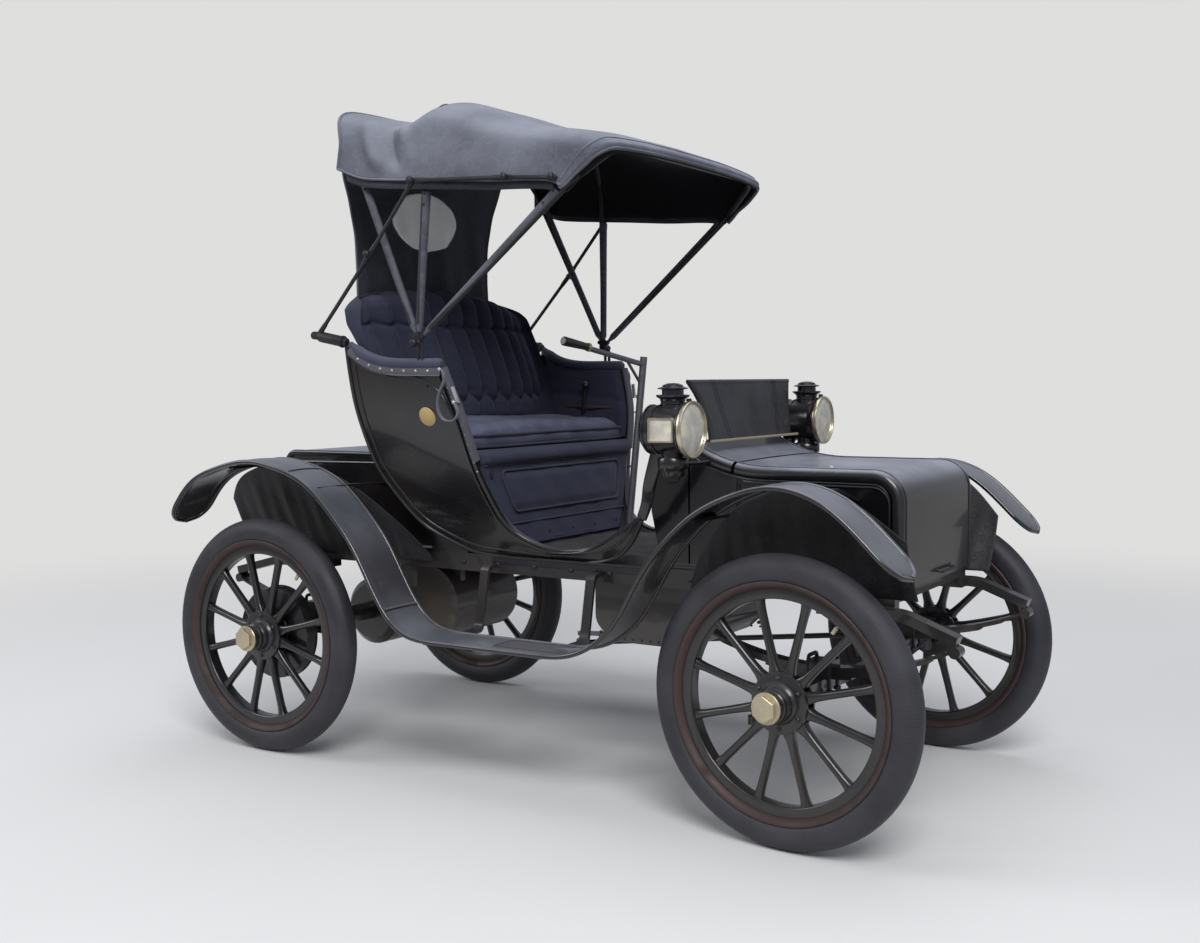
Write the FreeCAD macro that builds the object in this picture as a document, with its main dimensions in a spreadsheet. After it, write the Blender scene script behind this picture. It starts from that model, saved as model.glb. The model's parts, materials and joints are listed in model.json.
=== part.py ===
"""A brass era electric runabout: an open two-seat body under a folding leather
top, on wooden artillery wheels, steered by a side tiller.

Millimetres.  +X is forward, +Y is the car's left, +Z is up.  The origin lies on
the ground, midway between the axles.  Right and left are the driver's.
"""
import FreeCAD, Part
import Sketcher
import math
import os
import re
from FreeCAD import Placement, Rotation, Vector

# ----------------------------------------------------------------- dimensions
# alias, millimetres or degrees, meaning
DIMENSIONS = (
    ("wheel_radius", 381.0, "outside of the tyre, a 30 inch wheel"),
    ("tyre_section", 42.2, "radius of the tyre's round section"),
    ("rim_thickness", 5.0, "clincher rim round the tyre's inner side"),
    ("rim_edge_radius", 310.0, "where the rim's edges grip the tyre"),
    ("felloe_depth", 26.0, "wooden felloe under the rim"),
    ("felloe_width", 42.0, "felloe along the axle"),
    ("spoke_count", 12.0, "wooden spokes in each wheel"),
    ("spoke_root_width", 34.0, "spoke at the hub, round the wheel"),
    ("spoke_root_depth", 30.0, "spoke at the hub, along the axle"),
    ("spoke_tip_width", 24.0, "spoke at the felloe, round the wheel"),
    ("spoke_tip_depth", 26.0, "spoke at the felloe, along the axle"),
    ("flange_radius", 80.0, "hub flanges that clamp the spokes"),
    ("flange_thickness", 8.0, "one hub flange"),
    ("hub_radius", 42.0, "hub barrel"),
    ("hub_inner_length", 42.0, "hub barrel inboard of the wheel's middle plane"),
    ("hub_outer_length", 84.0, "hub barrel outboard of the wheel's middle plane"),
    ("hub_cap_radius", 40.0, "plated cap on the hub's end"),
    ("hub_cap_face", 106.0, "cap's face outboard of the wheel's middle plane"),
    ("brake_drum_radius", 150.0, "drum on each rear wheel"),
    ("brake_drum_width", 46.0, "drum along the axle"),
    ("brake_drum_gap", 32.0, "from the wheel's middle plane to the drum"),
    ("drum_wall", 6.0, "drum's rim and web"),
    ("spindle_radius", 17.0, "axle spindle in the hub"),
    ("bearing_gap", 0.4, "running clearance round a spindle or pin"),
    ("wheelbase", 1846.0, "between the two axles"),
    ("track", 1156.0, "between the middle planes of a pair of wheels"),
    ("kingpin_spread", 1000.0, "between the two kingpins"),
    ("kingpin_radius", 13.0, "kingpin"),
    ("kingpin_boss", 22.0, "radius of the boss round a kingpin"),
    ("kingpin_height", 104.0, "kingpin from end to end"),
    ("axle_boss_height", 60.0, "axle's boss round the kingpin"),
    ("fork_thickness", 20.0, "one lug of a knuckle's fork"),
    ("rest_steer", -4.6, "front wheels stand turned a little to the right"),
    ("axle_width", 32.0, "front axle beam, fore and aft"),
    ("axle_depth", 38.0, "front axle beam, up and down"),
    ("rear_axle_radius", 26.0, "rear axle tube"),
    ("gear_case_radius", 118.0, "differential case on the rear axle"),
    ("gear_case_width", 150.0, "differential case along the axle"),
    ("frame_half_width", 304.0, "outside of the frame rails"),
    ("rail_width", 34.0, "frame rail across the car"),
    ("rail_bottom", 600.0, "underside of the frame rails"),
    ("rail_top", 656.0, "top of the frame rails"),
    ("rail_front", 1112.0, "front end of the rails"),
    ("rail_rear", -1075.0, "rear end of the rails"),
    ("spring_spread", 668.0, "between the middles of a pair of springs"),
    ("leaf_width", 44.0, "spring leaf across the car"),
    ("leaf_thickness", 6.5, "one spring leaf"),
    ("leaf_count", 5.0, "leaves in a spring"),
    ("spring_reach", 364.0, "from a spring's middle to its eye"),
    ("spring_camber", 78.0, "rise of the main leaf from its middle to its eyes"),
    ("eye_radius", 15.0, "outside of a spring's eye"),
    ("iron_thickness", 26.0, "dumb irons and hangers"),
    ("floor_top", 682.0, "top of the floor boards"),
    ("floor_thickness", 20.0, "floor boards"),
    ("panel", 16.0, "body panels"),
    ("sill_half_width", 296.0, "tub's half width at the floor"),
    ("rail_half_width", 452.0, "tub's half width at the seat rail"),
    ("arm_half_width", 540.0, "tub's half width at the arms"),
    ("seat_rail_height", 950.0, "height where the tub is rail_half_width wide"),
    ("arm_top", 1246.0, "top edge of the arms"),
    ("arm_height", 1320.0, "height where the tub is arm_half_width wide"),
    ("deck_half_width", 304.0, "rear deck box"),
    ("deck_rear", -1078.0, "rear face of the deck box"),
    ("deck_height", 968.0, "top of the rear deck lid"),
    ("deck_lid_front", -660.0, "hinge line of the rear deck lid"),
    ("lid_thickness", 14.0, "rear deck lid"),
    ("hood_half_width", 300.0, "front box over its mouldings"),
    ("hood_front", 1130.0, "front face of the bent hood lid"),
    ("hood_height", 962.0, "top of the hood lid"),
    ("hood_hinge_x", 640.0, "hinge line of the hood lid"),
    ("hood_corner", 84.0, "hood lid's bend from top to front"),
    ("hood_sheet", 8.0, "hood lid and its mouldings"),
    ("lid_gap", 0.3, "gap under the lids where they rest"),
    ("cowl_rear", 470.0, "rear of the front box, under the dash"),
    ("cowl_height", 1022.0, "top of the cowl under the dash"),
    ("dash_base_x", 541.0, "dash board's foot"),
    ("dash_top_x", 503.0, "dash board's top edge"),
    ("dash_base_half", 303.0, "dash board's half width at its foot"),
    ("dash_top_half", 344.0, "dash board's half width at its top"),
    ("dash_top", 1201.0, "height of the dash board's top edge"),
    ("dash_thickness", 22.0, "leather covered dash board"),
    ("fender_inner", 502.0, "inner edge of fenders and step"),
    ("fender_outer", 660.0, "outer edge of fenders and step"),
    ("fender_tip_radius", 74.0, "rounding in plan of a fender's ends"),
    ("fender_sheet", 5.0, "fender metal"),
    ("step_height", 442.0, "top of the step"),
    ("pad_thickness", 6.0, "ribbed step pad"),
    ("step_pad_rear", 35.0, "rear edge of the step pad"),
    ("step_pad_length", 250.0, "step pad along the car"),
    ("step_pad_margin", 12.0, "bare step beside the pad"),
    ("top_pivot_x", -304.0, "pivot of the folding top"),
    ("top_pivot_y", 524.0, "pivot of the folding top"),
    ("top_pivot_z", 1324.0, "pivot of the folding top"),
    ("top_seat_gap", 0.4, "seat of the top's posts on the arms"),
    ("bow_radius", 10.0, "folding top's bows and irons"),
    ("cover_thickness", 6.0, "leather cover of the top"),
    ("lamp_x", 597.0, "front of a lamp's rim"),
    ("lamp_y", 453.0, "middle of a lamp"),
    ("lamp_z", 1065.0, "middle of a lamp"),
    ("lamp_rim_radius", 79.0, "lamp's front rim"),
    ("lamp_body_radius", 66.0, "lamp's drum"),
    ("lamp_length", 150.0, "lamp's drum and rim"),
    ("lamp_chimney", 88.0, "chimney's axis behind the lamp's face"),
    ("lamp_glass_inset", 12.0, "glass behind the lamp's face"),
    ("lamp_glass_thickness", 4.0, "lamp's front glass"),
    ("lamp_glass_margin", 10.0, "rim beyond the glass's edge"),
    ("lamp_window_width", 80.0, "lamp's side window, along the car"),
    ("lamp_window_height", 68.0, "lamp's side window, up and down"),
    ("lamp_bracket_drop", 160.0, "lamp's bracket below its middle"),
    ("lamp_bracket_radius", 10.0, "lamp's bracket"),
    ("strap_width", 14.0, "grab strap across the car"),
    ("strap_thickness", 4.0, "grab strap's two plies of leather"),
    ("strap_stand_off", 3.0, "grab strap clear of the tub's face at its upper stud"),
    ("strap_stud_radius", 4.0, "studs that hold the grab strap"),
    ("tiller_y", 252.0, "tiller post, left of the middle"),
    ("tiller_floor_x", -38.0, "tiller post's axis at the floor"),
    ("tiller_top_x", 24.0, "tiller post's top"),
    ("tiller_top_z", 1253.0, "tiller post's top"),
    ("tiller_radius", 12.0, "tiller post"),
    ("post_gap", 0.9, "clearance round the tiller post in the floor"),
    ("tiller_grip_x", -62.0, "end of the tiller's grip"),
    ("tiller_grip_y", -100.0, "end of the tiller's grip"),
    ("tiller_grip_z", 1327.0, "end of the tiller's grip"),
    ("steer_arm_back", 120.0, "drag link's arms, towards the rear"),
    ("steer_arm_in", 60.0, "drag link's arms, towards the middle"),
    ("drag_front_z", 376.0, "front end of the drag link"),
    ("drag_rear_z", 292.0, "rear end of the drag link"),
    ("tie_arm", 130.0, "tie rod's arms, towards the rear"),
    ("tie_rod_z", 300.0, "height of the tie rod"),
    ("tiller_arm_rise", 33.0, "tiller's arm above the drag link's rear end"),
    ("rod_pin_radius", 7.0, "pins of the drag link and tie rod"),
    ("tie_rod_gap", 2.0, "space round the pin that the tie rod's open end leaves"),
    ("rod_radius", 9.0, "drag link and tie rod"),
    ("rod_end_radius", 15.0, "eyes of the drag link and tie rod"),
    ("rod_end_height", 22.0, "eyes of the drag link and tie rod"),
    ("open_pivot_gap", 9.0, "space round the pin that a rod's open end leaves"),
)

doc = FreeCAD.newDocument("electric_runabout")
sheet = doc.addObject("Spreadsheet::Sheet", "Sizes")
for row, (alias, number, meaning) in enumerate(DIMENSIONS, start=1):
    sheet.set("A%d" % row, alias)
    sheet.set("B%d" % row, "%g" % number)
    sheet.set("C%d" % row, meaning)
    sheet.setAlias("B%d" % row, alias)
doc.recompute()

ALIASES = {alias for alias, _, _ in DIMENSIONS}
SIZE = {alias: float(sheet.get(alias)) for alias in ALIASES}
subparts = []


class Sizes:
    """The sheet's numbers as attributes, for shapes that code works out."""

    def __getattr__(self, alias):
        return SIZE[alias]


S = Sizes()


def expression(text):
    """A formula of sheet aliases, with each alias pointed at the sheet."""
    def point(word):
        name = word.group()
        return "Sizes." + name if name in ALIASES else name
    return re.sub(r"[A-Za-z_][A-Za-z_0-9]*", point, str(text))


def bind(item, **formulas):
    """Bind properties of an object to formulas of the sheet."""
    for name, formula in formulas.items():
        item.setExpression(name, expression(formula))
    return item


def keep(item, label):
    """Name a finished sub-part and put it on the list to write."""
    item.Label = label
    subparts.append(item)
    return item


# -------------------------------------------------------- PartDesign helpers
def new_body(label):
    return doc.addObject("PartDesign::Body", "Body_" + label)


def sketch(body, role, outline):
    """A sketch on one of the body's origin planes.

    Each corner of the outline is a pair of formulas, and every coordinate
    is a bound constraint.
    """
    plane = next(f for f in body.Origin.OriginFeatures if f.Role == role)
    drawing = body.newObject("Sketcher::SketchObject", body.Name + "_sketch")
    drawing.AttachmentSupport = [(plane, "")]
    drawing.MapMode = "FlatFace"

    def place(geometry, vertex, x, y):
        for kind, formula in (("DistanceX", x), ("DistanceY", y)):
            number = drawing.evalExpression(expression(formula))
            number = float(getattr(number, "Value", number))
            index = drawing.addConstraint(
                Sketcher.Constraint(kind, -1, 1, geometry, vertex, number))
            drawing.setExpression("Constraints[%d]" % index, expression(formula))

    def number(formula):
        found = drawing.evalExpression(expression(formula))
        return float(getattr(found, "Value", found))

    corners = [Vector(number(x), number(y), 0) for x, y in outline]
    for index, corner in enumerate(corners):
        after = corners[(index + 1) % len(corners)]
        drawing.addGeometry(Part.LineSegment(corner, after), False)
    for index, (x, y) in enumerate(outline):
        before = (index - 1) % len(outline)
        drawing.addConstraint(Sketcher.Constraint("Coincident", before, 2, index, 1))
        place(index, 1, x, y)
    return drawing


def revolve(body, outline):
    """Turn an outline of (radius, height) corners about the body's Z axis."""
    drawing = sketch(body, "XZ_Plane", outline)
    turned = body.newObject("PartDesign::Revolution", body.Name + "_turned")
    turned.Profile = drawing
    turned.ReferenceAxis = (drawing, ["V_Axis"])
    turned.Angle = 360.0
    return turned


def move(item, x=0, y=0, z=0, rotation=None):
    """Place an object at formulas of the sheet."""
    if rotation is not None:
        item.Placement.Rotation = rotation
    return bind(item, **{"Placement.Base.x": x, "Placement.Base.y": y, "Placement.Base.z": z})


# ------------------------------------------------------------ Part helpers
def feature(label, shape, placement=None):
    """A sub-part whose shape code works out."""
    item = doc.addObject("Part::Feature", label)
    item.Shape = shape
    if placement is not None:
        item.Placement = placement
    return keep(item, label)


def rounded(points, closed=True, plane="XZ"):
    """A wire through corners (a, b) or (a, b, radius), with tangent arcs."""
    lift = {"XZ": lambda a, b: Vector(a, 0, b), "YZ": lambda a, b: Vector(0, a, b),
            "XY": lambda a, b: Vector(a, b, 0)}[plane]
    corners = [(Vector(p[0], p[1], 0), p[2] if len(p) > 2 else 0.0) for p in points]
    edges = []
    ends = []
    count = len(corners)
    for index, (corner, radius) in enumerate(corners):
        inner = closed or 0 < index < count - 1
        if radius <= 0 or not inner:
            ends.append((corner, None, corner))
            continue
        back = (corners[index - 1][0] - corner).normalize()
        ahead = (corners[(index + 1) % count][0] - corner).normalize()
        half = back.getAngle(ahead) / 2
        reach = radius / math.tan(half)
        middle = corner + (back + ahead).normalize() * (radius / math.sin(half) - radius)
        ends.append((corner + back * reach, middle, corner + ahead * reach))

    def point(p):
        return lift(p.x, p.y)

    for index, (start, middle, finish) in enumerate(ends):
        if middle is not None:
            edges.append(Part.Arc(point(start), point(middle), point(finish)).toShape())
        if index < count - 1 or closed:
            following = ends[(index + 1) % count][0]
            if finish.distanceToPoint(following) > 1e-6:
                edges.append(Part.LineSegment(point(finish), point(following)).toShape())
    return Part.Wire(edges)


def beside(points, distance):
    """The corners of a path moved sideways, to its left, with their radii."""
    moved = []
    for index, corner in enumerate(points):
        here = Vector(corner[0], corner[1], 0)
        sides = []
        for first, second in ((index - 1, index), (index, index + 1)):
            if first >= 0 and second < len(points):
                run = Vector(points[second][0] - points[first][0],
                             points[second][1] - points[first][1], 0).normalize()
                sides.append(Vector(-run.y, run.x, 0))
        normal = sides[0] if len(sides) == 1 else (sides[0] + sides[1]).normalize()
        scale = distance / normal.dot(sides[0])
        place = here + normal * scale
        radius = corner[2] if len(corner) > 2 else 0.0
        if radius and len(sides) == 2:
            turn = sides[0].cross(sides[1]).z
            radius = radius - math.copysign(distance, turn) if turn else radius
        moved.append((place.x, place.y, max(radius, 0.0)))
    return moved


def band(points, thickness, plane="XZ"):
    """A face of even thickness to the left of a path."""
    other = beside(points, thickness)
    return Part.Face(rounded(list(points) + other[::-1], True, plane))


def across(face, low, high):
    """A face in the XZ plane drawn out along Y."""
    shape = face.extrude(Vector(0, high - low, 0))
    shape.translate(Vector(0, low, 0))
    return shape


def along(face, low, high):
    """A face in the YZ plane drawn out along X."""
    shape = face.extrude(Vector(high - low, 0, 0))
    shape.translate(Vector(low, 0, 0))
    return shape


def mirrored(shape):
    """The same shape on the other side of the car."""
    return shape.mirror(Vector(0, 0, 0), Vector(0, 1, 0))


def both_sides(shape):
    return Part.makeCompound([shape, mirrored(shape)])


def rod(start, finish, radius):
    """A round bar between two points."""
    run = Vector(*finish) - Vector(*start)
    return Part.makeCylinder(radius, run.Length, Vector(*start), run)


def joined(shapes):
    """One solid of several that overlap or touch."""
    return shapes[0].multiFuse(shapes[1:]).removeSplitter()



# ------------------------------------------------------------------- wheels
TYRE_MIDDLE = "(wheel_radius - tyre_section)"
RIM_FOOT = "(wheel_radius - 2 * tyre_section - rim_thickness)"
FELLOE_FOOT = "(wheel_radius - 2 * tyre_section - rim_thickness - felloe_depth)"


def make_tyre(label):
    tyre = doc.addObject("Part::Torus", label)
    return keep(bind(tyre, Radius1=TYRE_MIDDLE, Radius2="tyre_section"), label)


def make_wheel(label, drum):
    """Rim, felloe, spokes and hub; local +Z points outboard along the axle."""
    wheel = new_body(label)
    rim = wheel.newObject("PartDesign::AdditiveTorus", label + "_rim")
    bind(rim, Radius1=TYRE_MIDDLE, Radius2="tyre_section + rim_thickness")
    trim = wheel.newObject("PartDesign::Groove", label + "_rim_edge")
    trim.Profile = sketch(wheel, "XZ_Plane", (
        ("rim_edge_radius", "-2 * tyre_section"),
        ("wheel_radius + 2 * tyre_section", "-2 * tyre_section"),
        ("wheel_radius + 2 * tyre_section", "2 * tyre_section"),
        ("rim_edge_radius", "2 * tyre_section")))
    trim.ReferenceAxis = (trim.Profile[0], ["V_Axis"])
    trim.Angle = 360.0
    revolve(wheel, (
        (FELLOE_FOOT, "-felloe_width / 2"), (RIM_FOOT + " + 3", "-felloe_width / 2"),
        (RIM_FOOT + " + 3", "felloe_width / 2"), (FELLOE_FOOT, "felloe_width / 2")))
    hollow = wheel.newObject("PartDesign::SubtractiveTorus", label + "_seat")
    bind(hollow, Radius1=TYRE_MIDDLE, Radius2="tyre_section")
    revolve(wheel, (
        ("0", "-hub_inner_length"), ("hub_radius", "-hub_inner_length"),
        ("hub_radius", "-spoke_root_depth / 2 - flange_thickness"),
        ("flange_radius", "-spoke_root_depth / 2 - flange_thickness"),
        ("flange_radius", "spoke_root_depth / 2 + flange_thickness"),
        ("hub_radius", "spoke_root_depth / 2 + flange_thickness"),
        ("hub_radius * 0.9", "hub_outer_length"), ("0", "hub_outer_length")))
    if drum:
        far = "-brake_drum_gap - brake_drum_width"
        revolve(wheel, (
            ("hub_radius - 4", "-brake_drum_gap - drum_wall"),
            ("brake_drum_radius - drum_wall", "-brake_drum_gap - drum_wall"),
            ("brake_drum_radius - drum_wall", far), ("brake_drum_radius", far),
            ("brake_drum_radius", "-brake_drum_gap"), ("hub_radius - 4", "-brake_drum_gap")))
    spoke = wheel.newObject("PartDesign::AdditiveLoft", label + "_spoke")
    root = sketch(wheel, "YZ_Plane", (
        ("-spoke_root_width / 2", "-spoke_root_depth / 2"),
        ("spoke_root_width / 2", "-spoke_root_depth / 2"),
        ("spoke_root_width / 2", "spoke_root_depth / 2"),
        ("-spoke_root_width / 2", "spoke_root_depth / 2")))
    tip = sketch(wheel, "YZ_Plane", (
        ("-spoke_tip_width / 2", "-spoke_tip_depth / 2"),
        ("spoke_tip_width / 2", "-spoke_tip_depth / 2"),
        ("spoke_tip_width / 2", "spoke_tip_depth / 2"),
        ("-spoke_tip_width / 2", "spoke_tip_depth / 2")))
    root.setExpression(".AttachmentOffset.Base.z", expression("hub_radius - 4"))
    tip.setExpression(".AttachmentOffset.Base.z", expression(FELLOE_FOOT + " + 2"))
    spoke.Profile = root
    spoke.Sections = [tip]
    spoke.Ruled = True
    ring = wheel.newObject("PartDesign::PolarPattern", label + "_spokes")
    ring.Originals = [spoke]
    ring.Axis = (root, ["V_Axis"])
    ring.Angle = 360.0
    bind(ring, Occurrences="spoke_count")
    bore = wheel.newObject("PartDesign::Groove", label + "_bore")
    bore.Profile = sketch(wheel, "XZ_Plane", (
        ("0", "-track"), ("spindle_radius + bearing_gap", "-track"),
        ("spindle_radius + bearing_gap", "track"), ("0", "track")))
    bore.ReferenceAxis = (bore.Profile[0], ["V_Axis"])
    bore.Angle = 360.0
    wheel.Tip = bore
    return keep(wheel, label)


def make_hub_cap(label):
    """Screwed cap: a hexagon with a round boss, closed over the spindle's nut."""
    cap = new_body(label)
    revolve(cap, (
        ("0", "hub_outer_length"), ("hub_cap_radius", "hub_outer_length"),
        ("hub_cap_radius", "hub_cap_face - 8"), ("hub_cap_radius - 6", "hub_cap_face"),
        ("0", "hub_cap_face")))
    return keep(cap, label)


# corner, x of the axle in formulas, side (+1 left), steered
CORNERS = (
    ("front_right", "wheelbase / 2", -1, True),
    ("front_left", "wheelbase / 2", 1, True),
    ("rear_right", "-wheelbase / 2", -1, False),
    ("rear_left", "-wheelbase / 2", 1, False),
)
OUTBOARD = "((track - kingpin_spread) / 2)"

for corner, axle_x, side, steered in CORNERS:
    turn = S.rest_steer if steered else 0.0
    outward = Rotation(Vector(0, 0, 1), turn) * Rotation(Vector(1, 0, 0), -90.0 * side)
    pieces = (make_tyre("tyre_" + corner), make_wheel("wheel_" + corner, not steered),
              make_hub_cap("hub_cap_" + corner))
    for piece in pieces:
        if steered:
            move(piece, "%s - %d * %s * sin(rest_steer * 1deg)" % (axle_x, side, OUTBOARD),
                 "%d * (kingpin_spread / 2 + %s * cos(rest_steer * 1deg))" % (side, OUTBOARD),
                 "wheel_radius", rotation=outward)
        else:
            move(piece, axle_x, "%d * track / 2" % side, "wheel_radius", rotation=outward)

# ------------------------------------------------------------- axles, springs
AXLE_X = S.wheelbase / 2
AXLE_Z = S.wheel_radius
SPRING_Y = S.spring_spread / 2
SPRING_SEAT = AXLE_Z + S.axle_depth / 2
PIN_Y = S.kingpin_spread / 2


def make_front_axle():
    """Forged beam with a boss and a kingpin at each end."""
    reach = PIN_Y - S.kingpin_boss / 2
    beam = Part.makeBox(S.axle_width, 2 * reach, S.axle_depth,
                        Vector(AXLE_X - S.axle_width / 2, -reach, AXLE_Z - S.axle_depth / 2))
    pieces = [beam]
    for side in (-1, 1):
        foot = Vector(AXLE_X, side * PIN_Y, AXLE_Z)
        pieces.append(Part.makeCylinder(S.kingpin_boss, S.axle_boss_height,
                                        foot - Vector(0, 0, S.axle_boss_height / 2)))
        pieces.append(Part.makeCylinder(S.kingpin_radius, S.kingpin_height,
                                        foot - Vector(0, 0, S.kingpin_height / 2)))
    return feature("front_axle", joined(pieces))


def make_spring(x, seat):
    """Curved leaves, the longest on top with an eye at each end."""
    reach, camber, leaf = S.spring_reach, S.spring_camber, S.leaf_thickness
    radius = (reach ** 2 + camber ** 2) / (2 * camber)
    count = int(S.leaf_count)
    main_bottom = seat + leaf * (count - 1)
    middle_z = main_bottom + radius
    leaves = []
    for index in range(count):
        # leaf 0 is the main leaf; each one under it is shorter
        inner = radius - leaf + leaf * index
        span = reach * (1.0 - 0.19 * index)
        angle = math.degrees(math.asin(span / radius))
        ring = Part.makeCylinder(inner + leaf, S.leaf_width, Vector(0, 0, 0), Vector(0, 0, 1),
                                 2 * angle)
        core = Part.makeCylinder(inner, S.leaf_width, Vector(0, 0, 0), Vector(0, 0, 1), 2 * angle)
        leaf_shape = ring.cut(core)
        # local XY becomes XZ, centred on straight down
        leaf_shape.rotate(Vector(0, 0, 0), Vector(0, 0, 1), -90 - angle)
        leaf_shape.rotate(Vector(0, 0, 0), Vector(1, 0, 0), 90)
        leaf_shape.translate(Vector(x, S.leaf_width / 2, middle_z))
        leaves.append(leaf_shape)
    for end in (-1, 1):
        eye = Part.makeCylinder(S.eye_radius, S.leaf_width, Vector(x + end * reach,
                                -S.leaf_width / 2, main_bottom + camber), Vector(0, 1, 0))
        leaves.append(eye)
    half_clip = Part.makeBox(70, S.leaf_width + 20, leaf * count + 16,
                             Vector(x - 35, -S.leaf_width / 2 - 10, seat))
    leaves.append(half_clip)
    shape = joined(leaves)
    shape.translate(Vector(0, -SPRING_Y, 0))
    return shape


REAR_SEAT = AXLE_Z + S.rear_axle_radius + 2
EYE_RISE = S.leaf_thickness * (S.leaf_count - 1) + S.spring_camber
FRONT_EYE_Z = SPRING_SEAT + EYE_RISE
REAR_EYE_Z = REAR_SEAT + EYE_RISE


def make_springs():
    for label, x, seat in (("front_springs", AXLE_X, SPRING_SEAT), ("rear_springs", -AXLE_X, REAR_SEAT)):
        feature(label, both_sides(make_spring(x, seat)))


def make_rear_axle():
    """Tubes, a differential case in the middle and a spindle at each end."""
    drum_end = S.track / 2 - S.brake_drum_gap - S.brake_drum_width - 8
    tube = Part.makeCylinder(S.rear_axle_radius, 2 * drum_end,
                             Vector(-AXLE_X, -drum_end, AXLE_Z), Vector(0, 1, 0))
    end = S.track / 2 + S.hub_outer_length
    spindle = Part.makeCylinder(S.spindle_radius, 2 * end, Vector(-AXLE_X, -end, AXLE_Z),
                                Vector(0, 1, 0))
    case = Part.makeCylinder(S.gear_case_radius, S.gear_case_width,
                             Vector(-AXLE_X, -S.gear_case_width / 2, AXLE_Z), Vector(0, 1, 0))
    case = case.makeChamfer(22, case.Edges)
    pads = [Part.makeBox(74, S.leaf_width + 18, 2 * (REAR_SEAT - AXLE_Z),
                         Vector(-AXLE_X - 37, side * SPRING_Y - S.leaf_width / 2 - 9,
                                2 * AXLE_Z - REAR_SEAT)) for side in (-1, 1)]
    return feature("rear_axle", joined([tube, spindle, case] + pads))


make_front_axle()
make_springs()
make_rear_axle()


# ------------------------------------------------------------------ steering
def steered(vector, angle):
    """A plan vector turned about the vertical."""
    turned = Rotation(Vector(0, 0, 1), angle).multVec(Vector(*vector))
    return turned


DRAG_ARM = Vector(-S.steer_arm_back, -S.steer_arm_in, 0)
TIE_ARM = Vector(-S.tie_arm, 0, 0)


def arm_bar(start, finish, width, height):
    """A flat bar with round ends, level, from start to finish."""
    run = finish - start
    flat = Part.makeBox(run.Length, width, height, Vector(0, -width / 2, -height / 2))
    angle = math.degrees(math.atan2(run.y, run.x))
    flat.rotate(Vector(0, 0, 0), Vector(0, 0, 1), angle)
    flat.translate(start)
    ends = [Part.makeCylinder(width / 2, height, place - Vector(0, 0, height / 2))
            for place in (start, finish)]
    return joined([flat] + ends)


def make_knuckle(label, side):
    """Fork round the axle's boss, spindle for the wheel and the steering arms."""
    pin = Vector(AXLE_X, side * PIN_Y, AXLE_Z)
    outward = steered((0, side, 0), S.rest_steer)
    inner = S.axle_boss_height / 2 + S.bearing_gap
    pieces = []
    web_out = (S.track - S.kingpin_spread) / 2 - S.hub_inner_length - 1.0
    web_in = S.kingpin_boss + 5.0
    web = Part.makeBox(2 * S.kingpin_boss, web_out - web_in, 2 * (inner + S.fork_thickness),
                       Vector(-S.kingpin_boss, web_in, -inner - S.fork_thickness))
    for low in (inner, -inner - S.fork_thickness):
        lug = Part.makeCylinder(S.kingpin_boss, S.fork_thickness, Vector(0, 0, low))
        bridge = Part.makeBox(2 * S.kingpin_boss, web_out, S.fork_thickness,
                              Vector(-S.kingpin_boss, 0, low))
        pieces += [lug, bridge]
    pieces.append(web)
    fork = joined(pieces)
    fork.rotate(Vector(0, 0, 0), Vector(0, 0, 1), S.rest_steer + (0 if side > 0 else 180))
    fork.translate(pin)
    length = (S.track - S.kingpin_spread) / 2 + S.hub_outer_length - web_in - 2
    spindle = Part.makeCylinder(S.spindle_radius, length, pin + outward * (web_in + 2), outward)
    pieces = [fork, spindle]
    level = AXLE_Z - inner - S.fork_thickness / 2
    arms = [(TIE_ARM, S.tie_rod_z, -1)]
    if side > 0:
        arms.append((DRAG_ARM, S.drag_front_z, 1))
    for reach, eye_z, way in arms:
        end = pin + steered(reach, S.rest_steer)
        pieces.append(arm_bar(Vector(pin.x, pin.y, level), Vector(end.x, end.y, level), 26, 12))
        far = eye_z + way * (S.rod_end_height / 2 + 6)
        pieces.append(Part.makeCylinder(S.rod_pin_radius, abs(far - level),
                                        Vector(end.x, end.y, min(far, level))))
    hole = Part.makeCylinder(S.kingpin_radius + S.bearing_gap, 4 * S.kingpin_height,
                             pin - Vector(0, 0, 2 * S.kingpin_height))
    return feature(label, joined(pieces).cut(hole))


UP = Vector(0, 0, 1)
PIN_BORE = S.rod_pin_radius + S.bearing_gap


def rod_eye(place, bore, axis):
    """A ring for a rod's end and the bore through it, about an axis."""
    height = S.rod_end_height
    ring = Part.makeCylinder(S.rod_end_radius + max(bore - PIN_BORE, 0), height,
                             place - axis * (height / 2), axis)
    return ring, Part.makeCylinder(bore, 2 * height, place - axis * height, axis)


def make_link(label, closed_end, closed_axis, open_end, open_gap):
    """A rod with a bearing eye at one end and a loose eye at the other."""
    near, near_hole = rod_eye(closed_end, PIN_BORE, closed_axis)
    far, far_hole = rod_eye(open_end, S.rod_pin_radius + open_gap, UP)
    bar = rod(closed_end, open_end, S.rod_radius)
    shape = joined([near, far, bar]).cut(near_hole).cut(far_hole)
    return feature(label, shape)


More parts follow.
